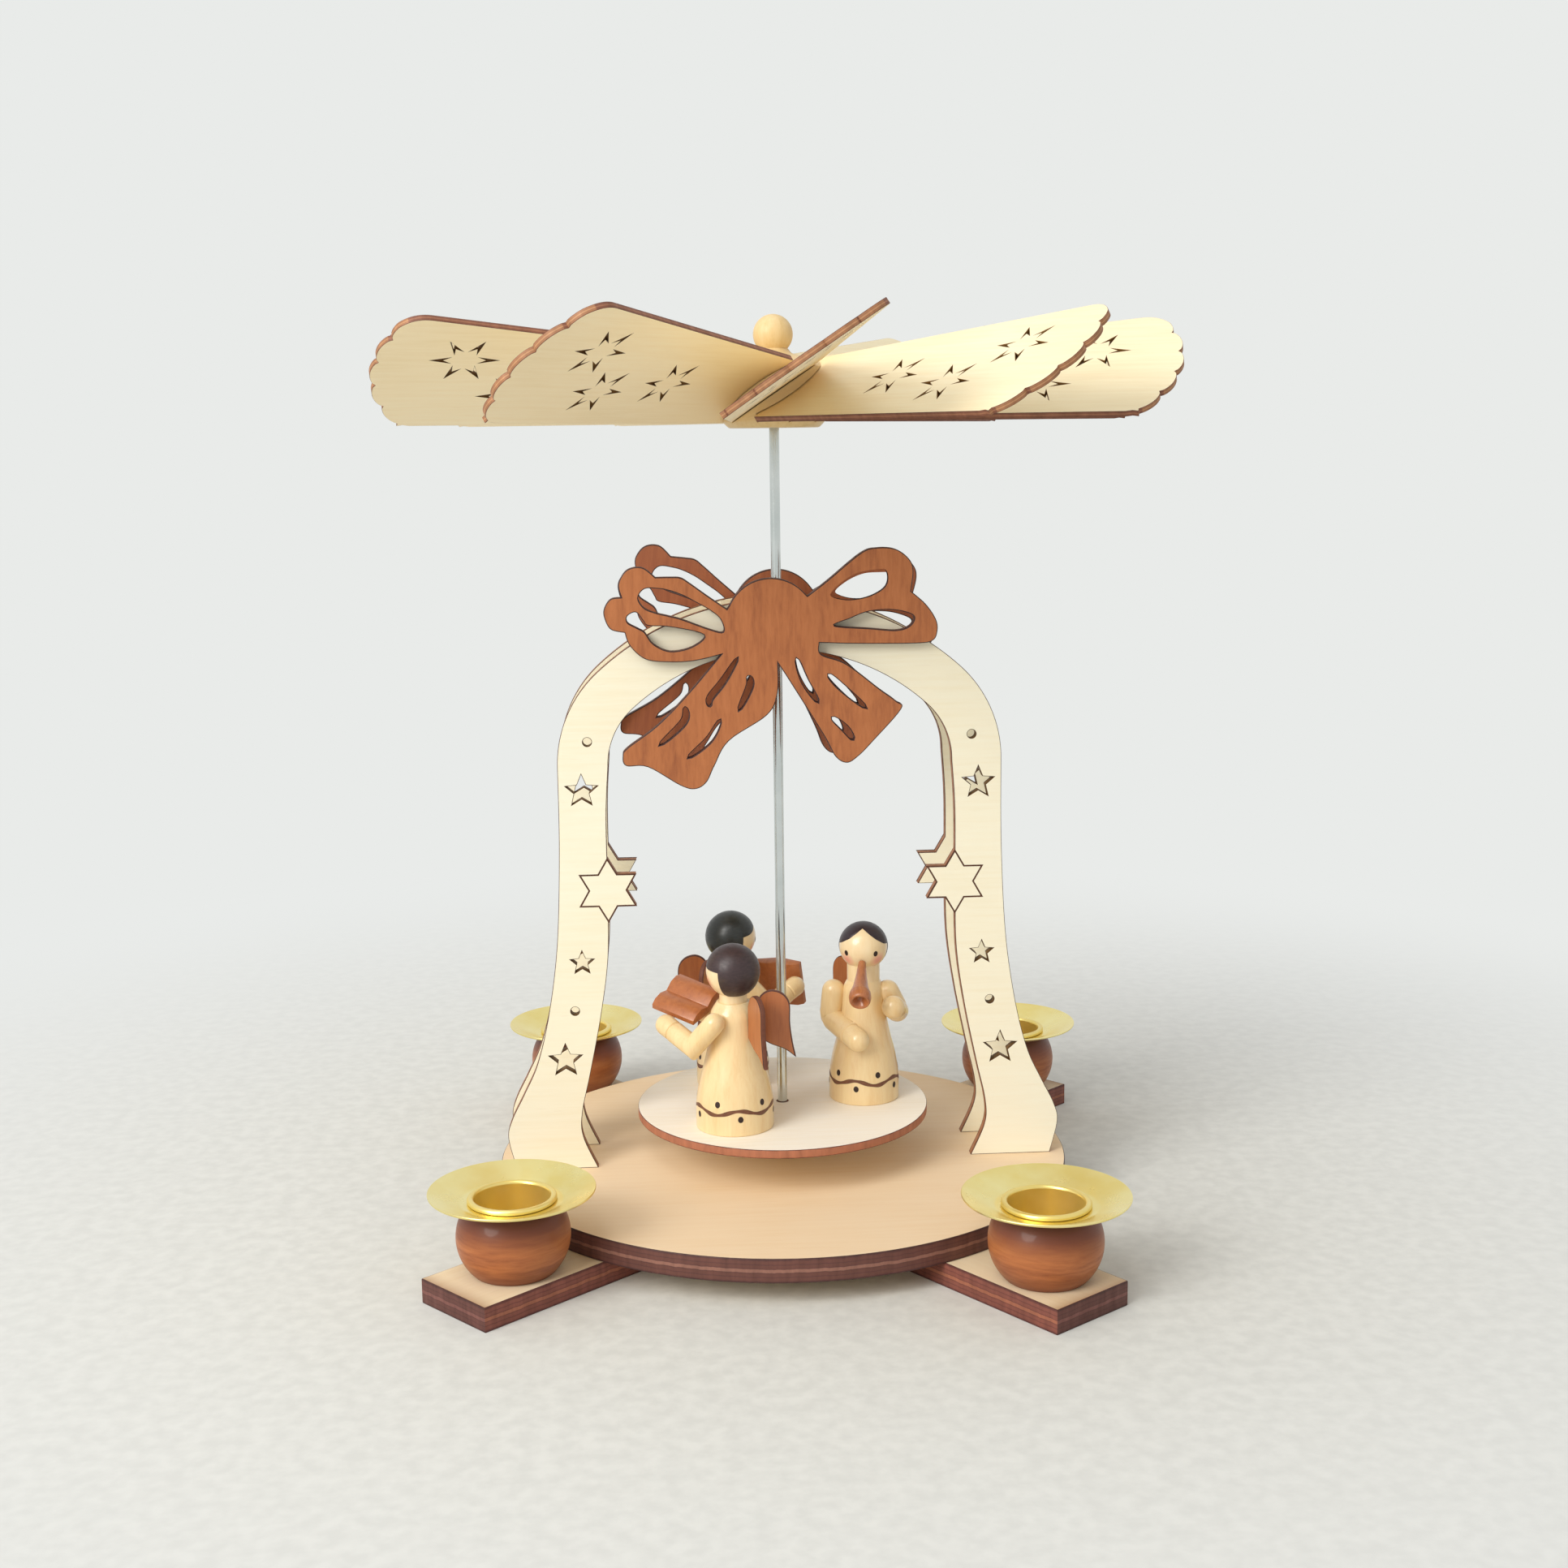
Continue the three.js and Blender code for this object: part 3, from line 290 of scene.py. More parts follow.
# Balls: the darker upper half under the saucer and the darker foot on the bar are painted shade.
ball_wood = turned_wood("stained_ball", "#C27A46", "#B06A3E", "#8C4E30", 0.44, 0.14,
                        painted_shade_bands=((8.5, 13, "#7A4430"), (12.5, 16.4, "#5C3430"), (5, 0, "#74402A")),
                        Specular_IOR_Level=0.25)
varnished = turned_wood("varnished_body", "#F5DCAA", "#F1D4A0", "#EBC892", 0.32, 0.45, (0.4, 0.4, 0.04))
hub_wood = turned_wood("plain_hub", "#E6CC9A", "#E1C48E", "#D8B87E", 0.5, 0.1, (0.5, 0.5, 0.06))
horn_wood = turned_wood("stained_horn", "#BE7A44", "#AE683C", "#965832", 0.36, 0.4, (0.8, 0.8, 0.1))
brass_dish = metal("brass_dish", "#F8EAA8", "#F2DD8C", 0.28, 0.012, (0.12, 0.12, 0.4))
brass_cup = metal("brass_cup", "#F4DF92", "#EED67E", 0.3, 0.012, (0.12, 0.12, 0.6), Metallic=0.8)
steel = metal("steel_rod", "#D8DCDA", "#C8CECC", 0.2, 0.04, (1.2, 1.2, 0.02))
face_wood = head_wood("varnished_head")
hair_a = paint_film("hair_plum", "#33242A", "#271A1F", 0.34)
hair_b = paint_film("hair_brown", "#423032", "#322426", 0.4)
hair_c = paint_film("hair_black", "#2A2C2A", "#1E201E", 0.34)
line_paint = paint_film("line_brown", "#7E5036", "#623A26", 0.45)
dot_paint = paint_film("dot_black", "#341A10", "#22100A", 0.55)
scorch = paint_film("engraved_line", "#5E3826", "#46281A", 0.75)


# Shapes

def smooth(points, steps=8):
    """Uniform Catmull-Rom line through the points, as the CAD model draws it."""
    line = []
    last = len(points) - 1
    for i in range(last):
        p = [Vector(points[min(max(k, 0), last)]) for k in (i - 1, i, i + 1, i + 2)]
        start, end = (p[2] - p[0]) / 2, (p[3] - p[1]) / 2
        for k in range(steps):
            t = k / steps
            line.append((2 * t**3 - 3 * t**2 + 1) * p[1] + (t**3 - 2 * t**2 + t) * start
                        + (3 * t**2 - 2 * t**3) * p[2] + (t**3 - t**2) * end)
    line.append(Vector(points[-1]))
    return [(v.x, v.y) for v in line]


def bend(start, corner, end, steps):
    """Points of a parabola that rounds a corner."""
    shares = [k / steps for k in range(steps + 1)]
    return [tuple(start * (1 - t) ** 2 + corner * 2 * t * (1 - t) + end * t * t) for t in shares]


def soften(profile, radius, closed=False, steps=4):
    """Rounds the corners of a profile by arcs of about the given radius."""
    points = [Vector(p) for p in profile]
    count = len(points)
    result = []
    for i, here in enumerate(points):
        if not closed and i in (0, count - 1):
            result.append(tuple(here))
            continue
        before, after = points[i - 1] - here, points[(i + 1) % count] - here
        if before.length < 1e-6 or after.length < 1e-6:
            continue
        turn = math.pi - before.angle(after)
        if turn < math.radians(12):
            result.append(tuple(here))
            continue
        reach = min(radius * math.tan(turn / 2), before.length * 0.45, after.length * 0.45)
        start, end = here + before.normalized() * reach, here + after.normalized() * reach
        result += bend(start, here, end, steps)
    return result


def arc(x, y, radius, begin, end, steps):
    """Points of an arc about (x, y), from the angle begin up to the last one before end."""
    angles = [begin + (end - begin) * i / steps for i in range(steps)]
    return [(x + radius * math.cos(a), y + radius * math.sin(a)) for a in angles]


def circle(radius, sides, x=0.0, y=0.0):
    return arc(x, y, radius, 0, 2 * math.pi, sides)


def ball_line(radius, neck, centre, steps):
    """Side line of a ball on the axis, from the neck's radius up to the top."""
    return arc(0, centre, radius, -math.acos(neck / radius), math.pi / 2, steps) + [(0, centre + radius)]


def loft(bm, rings):
    """Adds faces between closed rings of vertices, of which one may be a single point."""
    for low, high in zip(rings, rings[1:]):
        count = max(len(low), len(high))
        for i in range(count):
            j = (i + 1) % count
            corners = (low[i % len(low)], low[j % len(low)], high[j % len(high)], high[i % len(high)])
            unique = list(dict.fromkeys(corners))
            if len(unique) > 2:
                bm.faces.new(unique)
    return bm


def lathe(profile, sides, closed=False):
    """Body of revolution of [radius, height] points, from the lower axis point to the upper one."""
    bm = bmesh.new()
    rings = []
    for radius, height in profile:
        spots = circle(radius, sides) if radius > 1e-5 else [(0, 0)]
        rings.append([bm.verts.new((x, y, height)) for x, y in spots])
    return loft(bm, rings + rings[:1] if closed else rings)


def added(name, data):
    """A new object with the data, linked into the scene."""
    obj = bpy.data.objects.new(name, data)
    bpy.context.scene.collection.objects.link(obj)
    return obj


def applied(obj):
    """A new mesh of the object, with its curve settings or modifiers applied."""
    return bpy.data.meshes.new_from_object(obj.evaluated_get(bpy.context.evaluated_depsgraph_get()))


def plate(loops, thick, bevel):
    """Plate of an outline and its holes, from z = 0 up, with finely eased edges."""
    curve = bpy.data.curves.new("plate", "CURVE")
    curve.dimensions = "2D"
    curve.fill_mode = "BOTH"
    curve.extrude = thick / 2 - bevel
    curve.bevel_depth = bevel
    curve.bevel_resolution = 1
    curve.offset = -bevel
    for loop in loops:
        spline = curve.splines.new("POLY")
        spline.points.add(len(loop) - 1)
        for point, (x, y) in zip(spline.points, loop):
            point.co = (x, y, 0, 1)
        spline.use_cyclic_u = True
    holder = added("plate", curve)
    mesh = applied(holder)
    bm = bmesh.new()
    bm.from_mesh(mesh)
    bpy.data.objects.remove(holder)
    bpy.data.curves.remove(curve)
    bpy.data.meshes.remove(mesh)
    bmesh.ops.remove_doubles(bm, verts=bm.verts, dist=0.002)
    bmesh.ops.translate(bm, verts=bm.verts, vec=(0, 0, thick / 2))
    return bm


seed = [0]


def place(bm, name, matrix, body, slot, materials, nodes=(), split=None, limit=32, drift=(1, 1)):
    """Makes the object: own coordinates kept as loc, materials by local normal, sharp edges marked."""
    bm.normal_update()
    bmesh.ops.recalc_face_normals(bm, faces=bm.faces)
    seed[0] += 1
    # Each piece takes its own stretch of the grain
    offset = Vector((drift[0] * (seed[0] * 37.0 % 211), drift[1] * (seed[0] * 61.0 % 173), 0))
    layer = bm.verts.layers.float_vector.new("loc")
    for vert in bm.verts:
        vert[layer] = vert.co + offset
    flat = {}
    for poly in bm.faces:
        poly.smooth = True
        flat[poly] = abs(poly.normal.z) > 0.9995
        if split:
            poly.material_index = split(poly)
    for edge in bm.edges:
        if len(edge.link_faces) != 2:
            continue
        one, two = edge.link_faces
        if edge.calc_face_angle(0) > math.radians(limit) or (split and flat[one] != flat[two]):
            edge.smooth = False
    bm.transform(TO_METRES @ matrix)
    mesh = bpy.data.meshes.new(name)
    bm.to_mesh(mesh)
    bm.free()
    for material in materials:
        mesh.materials.append(material)
    obj = added(name, mesh)
    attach(obj, body)
    if nodes:
        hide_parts(*nodes)
    return obj


def face_or_edge(poly):
    return 0 if abs(poly.normal.z) > FLAT else 1


def bar_sides(poly):
    return 2 if abs(poly.normal.x) > 0.9 else face_or_edge(poly)


def near_any(poly, places):
    point = poly.calc_center_median()
    return any(math.hypot(point.x - x, point.y - y) < reach for x, y, reach in places)


def blade_sides(poly):
    # Undersides take the veneer copy with painted bounce light.
    if poly.normal.z < -FLAT:
        return 2
    if face_or_edge(poly) == 0:
        return 0
    if near_any(poly, [(x, y, dart_reach + 0.3) for x, y in blade_stars]):
        return 3
    return 4 if abs(poly.normal.y) > 0.85 else 1


def arch_sides(poly):
    return 2 if face_or_edge(poly) and near_any(poly, arch_openings) else face_or_edge(poly)


def shift(x, y, z):
    return Matrix.Translation((x, y, z))


def spin(degrees, axis=Z):
    return Matrix.Rotation(math.radians(degrees), 4, axis)


def standing(back):
    return shift(0, back, 0) @ spin(90, X)


def star(tips, radius, valley, x, y):
    points = []
    for i in range(2 * tips):
        reach = radius * valley if i % 2 else radius
        angle = math.pi / 2 + i * math.pi / tips
        points.append((x + reach * math.cos(angle), y + reach * math.sin(angle)))
    return points


# Cross of bars, base plate and bearing

def copied(node, turn):
    """The node's own solid, taken to the piece's own frame in millimetres."""
    bm = bmesh.new()
    bm.from_mesh(bpy.data.objects[node].data)
    bm.transform(spin(-turn) @ TO_MILLIMETRES)
    bmesh.ops.remove_doubles(bm, verts=bm.verts, dist=0.001)
    bmesh.ops.dissolve_limit(bm, angle_limit=math.radians(1), verts=bm.verts, edges=bm.edges)
    return bm


def ease(bm, width):
    edges = [e for e in bm.edges if len(e.link_faces) == 2 and e.calc_face_angle(0) > math.radians(50)]
    bmesh.ops.bevel(bm, geom=edges, offset=width, segments=2, profile=0.6, affect="EDGES")
    return bm


for name, turn in (("crossbar_lower", lower_turn), ("crossbar_upper", upper_turn)):
    place(ease(copied(name, turn), 0.25), name + "_bar", spin(turn), "stand", "birch",
          [birch_bar, edge_bar, edge_bar_end], [name], bar_sides, drift=(0, 1))

base_profile = soften([(4.3, 0), (base_radius, 0), (base_radius, base_thick), (4.3, base_thick)], 0.35, True)
place(lathe(base_profile, 192, True), "base_round", shift(0, 0, bar_thick), "stand", "birch",
      [birch_warm, edge_base], ["base_plate"], face_or_edge)
bearing_profile = soften([(0, 0), (4, 0), (4, 5), (2.6, 5), (0, 2.6)], 0.3)
place(lathe(bearing_profile, 48), "bearing_cup", shift(0, 0, base_top - 5), "stand", "steel", [steel],
      ["pivot_bearing"])


# Candle holders: lacquered balls, saucers and rolled cups

ball_height, ball_radius, ball_half, ball_foot = 16.6, 13.4, 12.5, 9.5
dish_top = ball_height + 0.6
cup_top = dish_top + 1.3
cup_floor = cup_top - 12.2
sink = ball_half * math.sqrt(1 - (ball_foot / ball_radius) ** 2)
ball_side = []
for i in range(33):
    level = (ball_height * i / 32 - sink) / ball_half
    ball_side.append((ball_radius * math.sqrt(1 - level * level), ball_height * i / 32))
ball_profile = soften([(0, 0)] + ball_side + [(9.8, ball_height), (9.8, cup_floor - 1.8),
                                              (0, cup_floor - 1.8)], 0.5)
dish_profile = soften([(9.8, 16.6), (12.2, 16.65), (19.5, 19.5), (19.6, 19.8), (19.5, 20.1), (12, 17.25),
                       (9.8, 17.2)], 3.0, True, 6)
cup_profile = soften([
    (0, cup_floor - 0.6), (9.5, cup_floor - 0.6), (9.5, dish_top + 0.05), (10.35, dish_top + 0.05),
    (10.5, dish_top + 0.65), (10.2, cup_top - 0.15), (9.7, cup_top), (9.1, cup_top - 0.15),
    (8.9, cup_top - 0.7), (8.9, cup_floor), (0, cup_floor)], 0.5)
for side, turn in candle_turn.items():
    reach = bar_length / 2 - candle_inset[side]
    where = spin(turn) @ shift(reach, 0, bar_thick)
    place(lathe(ball_profile, 96), "ball_" + side, where, "stand", "turned_ball", [ball_wood],
          ["candle_holder_" + side])
    place(lathe(dish_profile, 128, True), "saucer_" + side, where, "stand", "brass", [brass_dish],
          ["drip_dish_" + side])
    place(lathe(cup_profile, 96), "cup_" + side, where, "stand", "brass", [brass_cup],
          ["candle_cup_" + side])


# Arches, bridge and engraved stars

leg_outer = [(0, 1), (0.01, 0.8), (0.09, 0.57), (0.26, 0.396), (0.47, 0.272), (0.71, 0.194), (0.93, 0.129),
             (1, 0.081), (0.87, 0)]
leg_inner = [(0, 1), (0.09, 0.877), (0.1, 0.686), (0.14, 0.534), (0.37, 0.394), (0.73, 0.243),
             (0.99, 0.143), (0.98, 0.081), (0.58, 0)]
# Up, inward and outward as shares, and for the stars their size
leg_stars = [(0.676, 0.5, 0.03, 0.98), (0.373, 0.5, 0.1, 0.72), (0.198, 0.5, 0.42, 1.02)]
leg_holes = [(0.761, 0.6, 0), (0.287, 0.5, 0.24)]
big_valley = 0.58


def leg_place(side, up, inward, outward):
    return side * (half_span - inward * band_width + outward * foot_flare), up * arch_height


def band_side(inset, flare, shares):
    centre = arch_height - crown_radius
    shoulder_x = half_span - shoulder_radius
    rise = math.sqrt((crown_radius - shoulder_radius) ** 2 - shoulder_x ** 2)
    joint = math.atan2(rise, shoulder_x)
    crown = arc(0, centre, crown_radius - inset, math.pi / 2, joint, 28)
    shoulder = arc(shoulder_x, centre + rise, shoulder_radius - inset, joint, 0, 24)
    leg = [(half_span - inset + across * flare, up * (centre + rise)) for across, up in shares]
    return crown + shoulder + smooth(leg)


def crossing(p, q, a, b):
    """Share along p to q at which it crosses a to b, or None."""
    d, e = (q[0] - p[0], q[1] - p[1]), (b[0] - a[0], b[1] - a[1])
    cross = d[0] * e[1] - d[1] * e[0]
    if abs(cross) < 1e-12:
        return None
    t = ((a[0] - p[0]) * e[1] - (a[1] - p[1]) * e[0]) / cross
    u = ((a[0] - p[0]) * d[1] - (a[1] - p[1]) * d[0]) / cross
    return t if 0 <= t < 1 and 0 <= u < 1 else None


def with_star(line, points):
    """The line, led round the star's part that lies on its inner side (towards x = 0)."""
    hits = []
    count = len(points)
    for i in range(len(line) - 1):
        p, q = line[i], line[i + 1]
        for k in range(count):
            t = crossing(p, q, points[k], points[(k + 1) % count])
            if t is not None:
                hits.append((i + t, i, k, (p[0] + t * (q[0] - p[0]), p[1] + t * (q[1] - p[1]))))
    (_, before, first, enter), (_, after, last, leave) = min(hits), max(hits)
    forward = [points[(first + 1 + s) % count] for s in range((last - first - 1) % count + 1)]
    backward = [points[(first - s) % count] for s in range((first - last - 1) % count + 1)]
    inner = min(forward, backward, key=lambda run: sum(x for x, _ in run) / len(run))
    return line[:before + 1] + [enter] + inner + [leave] + line[after + 1:]


outer = band_side(0, foot_flare, leg_outer)
star_inward, star_up = 0.93, 0.501
star_at = leg_place(1, star_up, star_inward, 0)
inner = with_star(band_side(band_width, foot_tuck, leg_inner), star(6, big_star, big_valley, *star_at))
mirrored = [[(-x, y) for x, y in line[1:]] for line in (outer, inner)]
arch_loops = [mirrored[0][::-1] + outer + inner[::-1] + mirrored[1]]
arch_openings = []
for side in (-1, 1):
    for up, inward, outward, size in leg_stars:
        where = leg_place(side, up, inward, outward)
        arch_loops.append(star(5, size * leg_star, 0.45, *where))
        arch_openings.append((*where, size * leg_star + 0.1))
    for up, inward, outward in leg_holes:
        where = leg_place(side, up, inward, outward)
        arch_loops.append(circle(leg_hole, 24, *where))
        arch_openings.append((*where, leg_hole + 0.1))

fronts = (("front", -arch_spacing / 2, ply + 0.02), ("rear", arch_spacing / 2 + ply, -0.02))
for name, back, _ in fronts:
    place(plate(arch_loops, ply, 0.16), f"arch_{name}_fret", shift(0, 0, base_top) @ standing(back), "stand",
          "birch", [birch, edge_arch, hole_wall], ["arch_" + name], arch_sides)


def ribbon(points, width, lift):
    """Thin closed strip along a line of points in a plate's plane, drawn just above its face."""
    bm = bmesh.new()
    count = len(points)
    pairs = []
    for i, here in enumerate(points):
        here, before, after = Vector(here), Vector(points[i - 1]), Vector(points[(i + 1) % count])
        into, out = (here - before).normalized(), (after - here).normalized()
        along = (into + out).normalized()
        normal = Vector((-along.y, along.x)) * width / 2 / max(0.4, along.dot(into))
        pairs.append([bm.verts.new((*(here + normal), lift)), bm.verts.new((*(here - normal), lift))])
    left, right = zip(*pairs)
    return loft(bm, [right, left])


for name, back, face in fronts:
    for side, word in ((-1, "left"), (1, "right")):
        at = leg_place(side, star_up, star_inward, 0)
        line = ribbon(star(6, big_star - 0.25, big_valley, *at), 0.42, face)
        place(line, f"star_line_{name}_{word}", shift(0, 0, base_top) @ standing(back), "stand", "birch",
              [scorch])

place(ease(copied("bridge", 0), 0.3), "bridge_block", Matrix.Identity(4), "stand", "birch", [birch],
      ["bridge"])


# Bows

bow_outline = [
    [(0.22, 0.16), (0.34, 0.25), (0.54, 0.41), (0.64, 0.44), (0.75, 0.43), (0.83, 0.37), (0.855, 0.3),
     (0.84, 0.18)],
    [(0.84, 0.18), (0.93, 0.1), (0.99, 0.01), (1, -0.06), (0.97, -0.12), (0.86, -0.135), (0.5, -0.13),
     (0.29, -0.12)],
    [(0.29, -0.12), (0.3, -0.19), (0.45, -0.25), (0.65, -0.405), (0.75, -0.48), (0.78, -0.53),
     (0.61, -0.72), (0.52, -0.81), (0.45, -0.85), (0.38, -0.81), (0.31, -0.68), (0.11, -0.35),
     (0.04, -0.24)],
    [(0.04, -0.24), (0.035, -0.42), (-0.03, -0.55), (-0.26, -0.7), (-0.35, -0.85), (-0.4, -0.95),
     (-0.47, -0.99), (-0.56, -0.965), (-0.75, -0.85), (-0.88, -0.84), (-0.9, -0.78), (-0.87, -0.73),
     (-0.69, -0.6), (-0.5, -0.41), (-0.3, -0.18)],
    [(-0.3, -0.18), (-0.46, -0.215), (-0.61, -0.22), (-0.75, -0.2), (-0.84, -0.12), (-0.87, -0.04)],
    [(-0.87, -0.04), (-0.95, -0.02), (-0.985, 0.04), (-0.99, 0.1), (-0.95, 0.16), (-0.885, 0.17)],
    [(-0.885, 0.17), (-0.9, 0.25), (-0.85, 0.33), (-0.76, 0.345), (-0.68, 0.285)],
    [(-0.68, 0.285), (-0.59, 0.285), (-0.53, 0.28), (-0.475, 0.245), (-0.38, 0.175), (-0.26, 0.09)],
]
bow_holes = [
    [(-0.785, 0.165), (-0.745, 0.218), (-0.66, 0.217), (-0.596, 0.204), (-0.518, 0.174), (-0.44, 0.131),
     (-0.362, 0.085), (-0.3, 0.03), (-0.285, -0.045), (-0.376, -0.024), (-0.525, 0.033), (-0.61, 0.057),
     (-0.681, 0.075), (-0.75, 0.105)],
    [(-0.85, 0.06), (-0.8, 0.08), (-0.76, 0.03), (-0.73, 0), (-0.6, -0.01), (-0.4, -0.06), (-0.47, -0.13),
     (-0.6, -0.155), (-0.7, -0.11), (-0.75, -0.04), (-0.79, -0.015), (-0.85, 0.02)],
    [(0.35, 0.16), (0.41, 0.235), (0.51, 0.295), (0.61, 0.315), (0.69, 0.315), (0.71, 0.25), (0.68, 0.19),
     (0.58, 0.14), (0.45, 0.125)],
    [(0.38, -0.02), (0.47, 0.02), (0.58, 0.06), (0.71, 0.07), (0.82, 0.05), (0.86, 0.02), (0.83, -0.03),
     (0.75, -0.053), (0.6, -0.04)],
]
bow_slots = [
    [(-0.2, -0.2), (-0.29, -0.34), (-0.37, -0.44), (-0.37, -0.49)],
    [(-0.14, -0.31), (-0.13, -0.37), (-0.2, -0.52)],
    [(-0.52, -0.49), (-0.53, -0.58), (-0.68, -0.72)],
    [(-0.31, -0.57), (-0.38, -0.69), (-0.51, -0.8)],
    [(0.15, -0.21), (0.2, -0.35), (0.28, -0.48)],
    [(0.34, -0.31), (0.42, -0.39), (0.57, -0.52)],
    [(0.36, -0.57), (0.44, -0.64), (0.49, -0.71)],
]


def bow_size(points):
    return [(x * bow_half, y * bow_half) for x, y in points]


def slot_loop(shares):
    line = [Vector(p) for p in smooth(bow_size(shares), 6)]
    near, far = [], []
    for i, here in enumerate(line):
        along = (line[min(i + 1, len(line) - 1)] - line[max(i - 1, 0)]).normalized()
        half = slot_width / 2 * math.sin(math.pi * i / (len(line) - 1)) ** 0.45
        side = Vector((-along.y, along.x)) * half
        near.append(tuple(here + side))
        if 0 < i < len(line) - 1:
            far.append(tuple(here - side))
    return near + far[::-1]


bow_edge_line = []
for stretch in bow_outline:
    bow_edge_line += smooth(bow_size(stretch), 6)[1:]
start, end = bow_outline[-1][-1], bow_outline[0][0]
bow_edge_line += arc(0, 0, knot_radius, math.atan2(start[1], start[0]), math.atan2(end[1], end[0]), 24)[1:]
bow_edge_line += bow_size([end])
bow_loops = [bow_edge_line]
for hole in bow_holes:
    wrapped = smooth(bow_size([hole[-1]] + hole + hole[:2]), 5)
    bow_loops.append(wrapped[5:5 + 5 * len(hole)])
bow_loops += [slot_loop(slot) for slot in bow_slots]

knot = base_top + arch_height - bow_drop
arch_face = arch_spacing / 2 + ply
place(plate(bow_loops, ply, 0.24), "bow_front_fret", shift(front_bow_aside, -arch_face, knot) @ standing(0),
      "stand", "stained_ply", [bow_face, bow_edge], ["bow_front"], face_or_edge)
place(plate(bow_loops, ply, 0.24), "bow_rear_fret",
      shift(rear_bow_aside, arch_face + ply, knot + rear_bow_lift) @ spin(rear_bow_lean, Y) @ standing(0),
      "stand", "stained_ply", [bow_shade, bow_edge], ["bow_rear"], face_or_edge)


# Spindle, turntable and boss

rod_bottom, rod_top, rod_radius = base_top - 2.1, 213.5, 1.25
rod_height = rod_top - rod_bottom
rod_profile = soften([(0, 0), (rod_radius, 3), (rod_radius, rod_height), (0, rod_height)], 0.2)
place(lathe(rod_profile, 40), "rod", shift(0, 0, rod_bottom), "carousel", "steel", [steel], ["spindle"],
      drift=(0, 0))
table_profile = soften([(1.55, 0), (table_radius, 0), (table_radius, table_thick), (1.55, table_thick)],
                       0.2, True)
place(lathe(table_profile, 160, True), "turntable_round", shift(0, 0, table_bottom), "carousel", "birch",
      [birch_pale, edge_table], ["turntable_disc"], face_or_edge)
boss_profile = soften([(1.55, 0), (6.7, 0), (7, 0.3), (7, 7.3), (1.55, 7.3)], 0.4, True)
place(lathe(boss_profile, 64, True), "turntable_boss", shift(0, 0, table_bottom - 7.3), "carousel", "birch",
      [hub_wood], ["turntable_hub"])


# Wheel

blade_stars = [(root_radius + out * (tip_radius - root_radius), across * tip_chord)
               for out, across in ((0.843, 0.313), (0.697, -0.024), (0.444, 0.062))]


dart = [(1, 0), (0.42, 0.135), (0.64, 0), (0.42, -0.135)]


def blade_loops():
    low = -root_chord / 2
    high = low + tip_chord
    middle, half = (low + high) / 2, tip_chord / 2
    tip = (half * half + tip_bulge * tip_bulge) / (2 * tip_bulge)
    centre = tip_radius + tip_bulge - tip
    swing = math.asin(half / tip)
    points = [(root_radius, low), (tip_radius - 3, low), (tip_radius - 1.4, low + 0.35)]
    steps = 12 * scallops
    for i in range(steps + 1):
        angle = swing * (2 * i / steps - 1)
        crest = 1 if i in (0, steps) else abs(math.sin(math.pi * scallops * i / steps)) ** 0.55
        reach = tip - scallop_depth * (1 - crest)
        points.append((centre + reach * math.cos(angle), middle + reach * math.sin(angle)))
    corner, foot = Vector((tip_radius - 0.3, high - 0.2)), Vector((root_radius, -low))
    points = [p for p in points if (Vector(p) - corner).length > tip_corner]
    end = corner + (foot - corner).normalized() * tip_corner
    points += bend(Vector(points[-1]), corner, end, 10)[1:] + [tuple(foot)]
    loops = [points]
    for u, v in blade_stars:
        for i in range(6):
            c, s = dart_reach * math.cos(i * math.pi / 3), dart_reach * math.sin(i * math.pi / 3)
            loops.append([(u + a * c - b * s, v + a * s + b * c) for a, b in dart])
    return loops


def slot_frame(index):
    return (shift(0, 0, hub_bottom + slot_centre) @ spin(blade_phase - 90 + 360 / blades * index)
            @ spin(blade_pitch, X))


blade_shape = blade_loops()
for i in range(blades):
    name = f"blade_{i + 1:02d}"
    place(plate(blade_shape, blade_thick, 0.08), name + "_vane",
          slot_frame(i) @ shift(0, 0, -blade_thick / 2), "carousel", "birch",
          [birch_top, edge_blade, birch_under_painted_bounce, hole_wall, edge_blade_side], [name], blade_sides, drift=(0, 1))

neck_top = hub_rim + neck_height
ball_centre = neck_top + math.sqrt(finial_radius ** 2 - neck_radius ** 2)
hub_side = [(0, 0), (hub_radius - 1.4, 0), (hub_radius, 1.4), (hub_radius, hub_rim - 1.4),
            (hub_radius - 1.4, hub_rim), (8.2, hub_rim + 0.9), (4.6, hub_rim + 2), (neck_radius, neck_top)]
hub_profile = soften(hub_side, 1.2) + ball_line(finial_radius, neck_radius, ball_centre, 24)[1:]
hub = place(lathe(hub_profile, 120), "hub_turned", shift(0, 0, hub_bottom), "carousel", "birch", [hub_wood],
            ["rotor_hub"], drift=(0, 0))
slot_start, slot_gap, slot_reach = root_radius - 0.3, 2.1, 16
cutter = bmesh.new()
for i in range(blades):
    box = (slot_frame(i) @ shift(slot_start + slot_reach / 2, 0, 0)
           @ Matrix.Diagonal((slot_reach, 2 * tip_chord, slot_gap, 1)))
    bmesh.ops.create_cube(cutter, size=1, matrix=TO_METRES @ box)
cut_mesh = bpy.data.meshes.new("slots")
cutter.to_mesh(cut_mesh)
cutter.free()
cut_holder = added("slots", cut_mesh)
cut = hub.modifiers.new("slots", "BOOLEAN")
cut.operation, cut.solver, cut.object = "DIFFERENCE", "EXACT", cut_holder
carved = applied(hub)
hub.modifiers.clear()
hub.data = carved
bpy.data.objects.remove(cut_holder)


# Angels

body_shares = [(1, 0.155), (0.975, 0.245), (0.89, 0.382), (0.75, 0.536), (0.65, 0.686), (0.615, 0.817),
               (0.58, 0.915), (0.42, 1)]


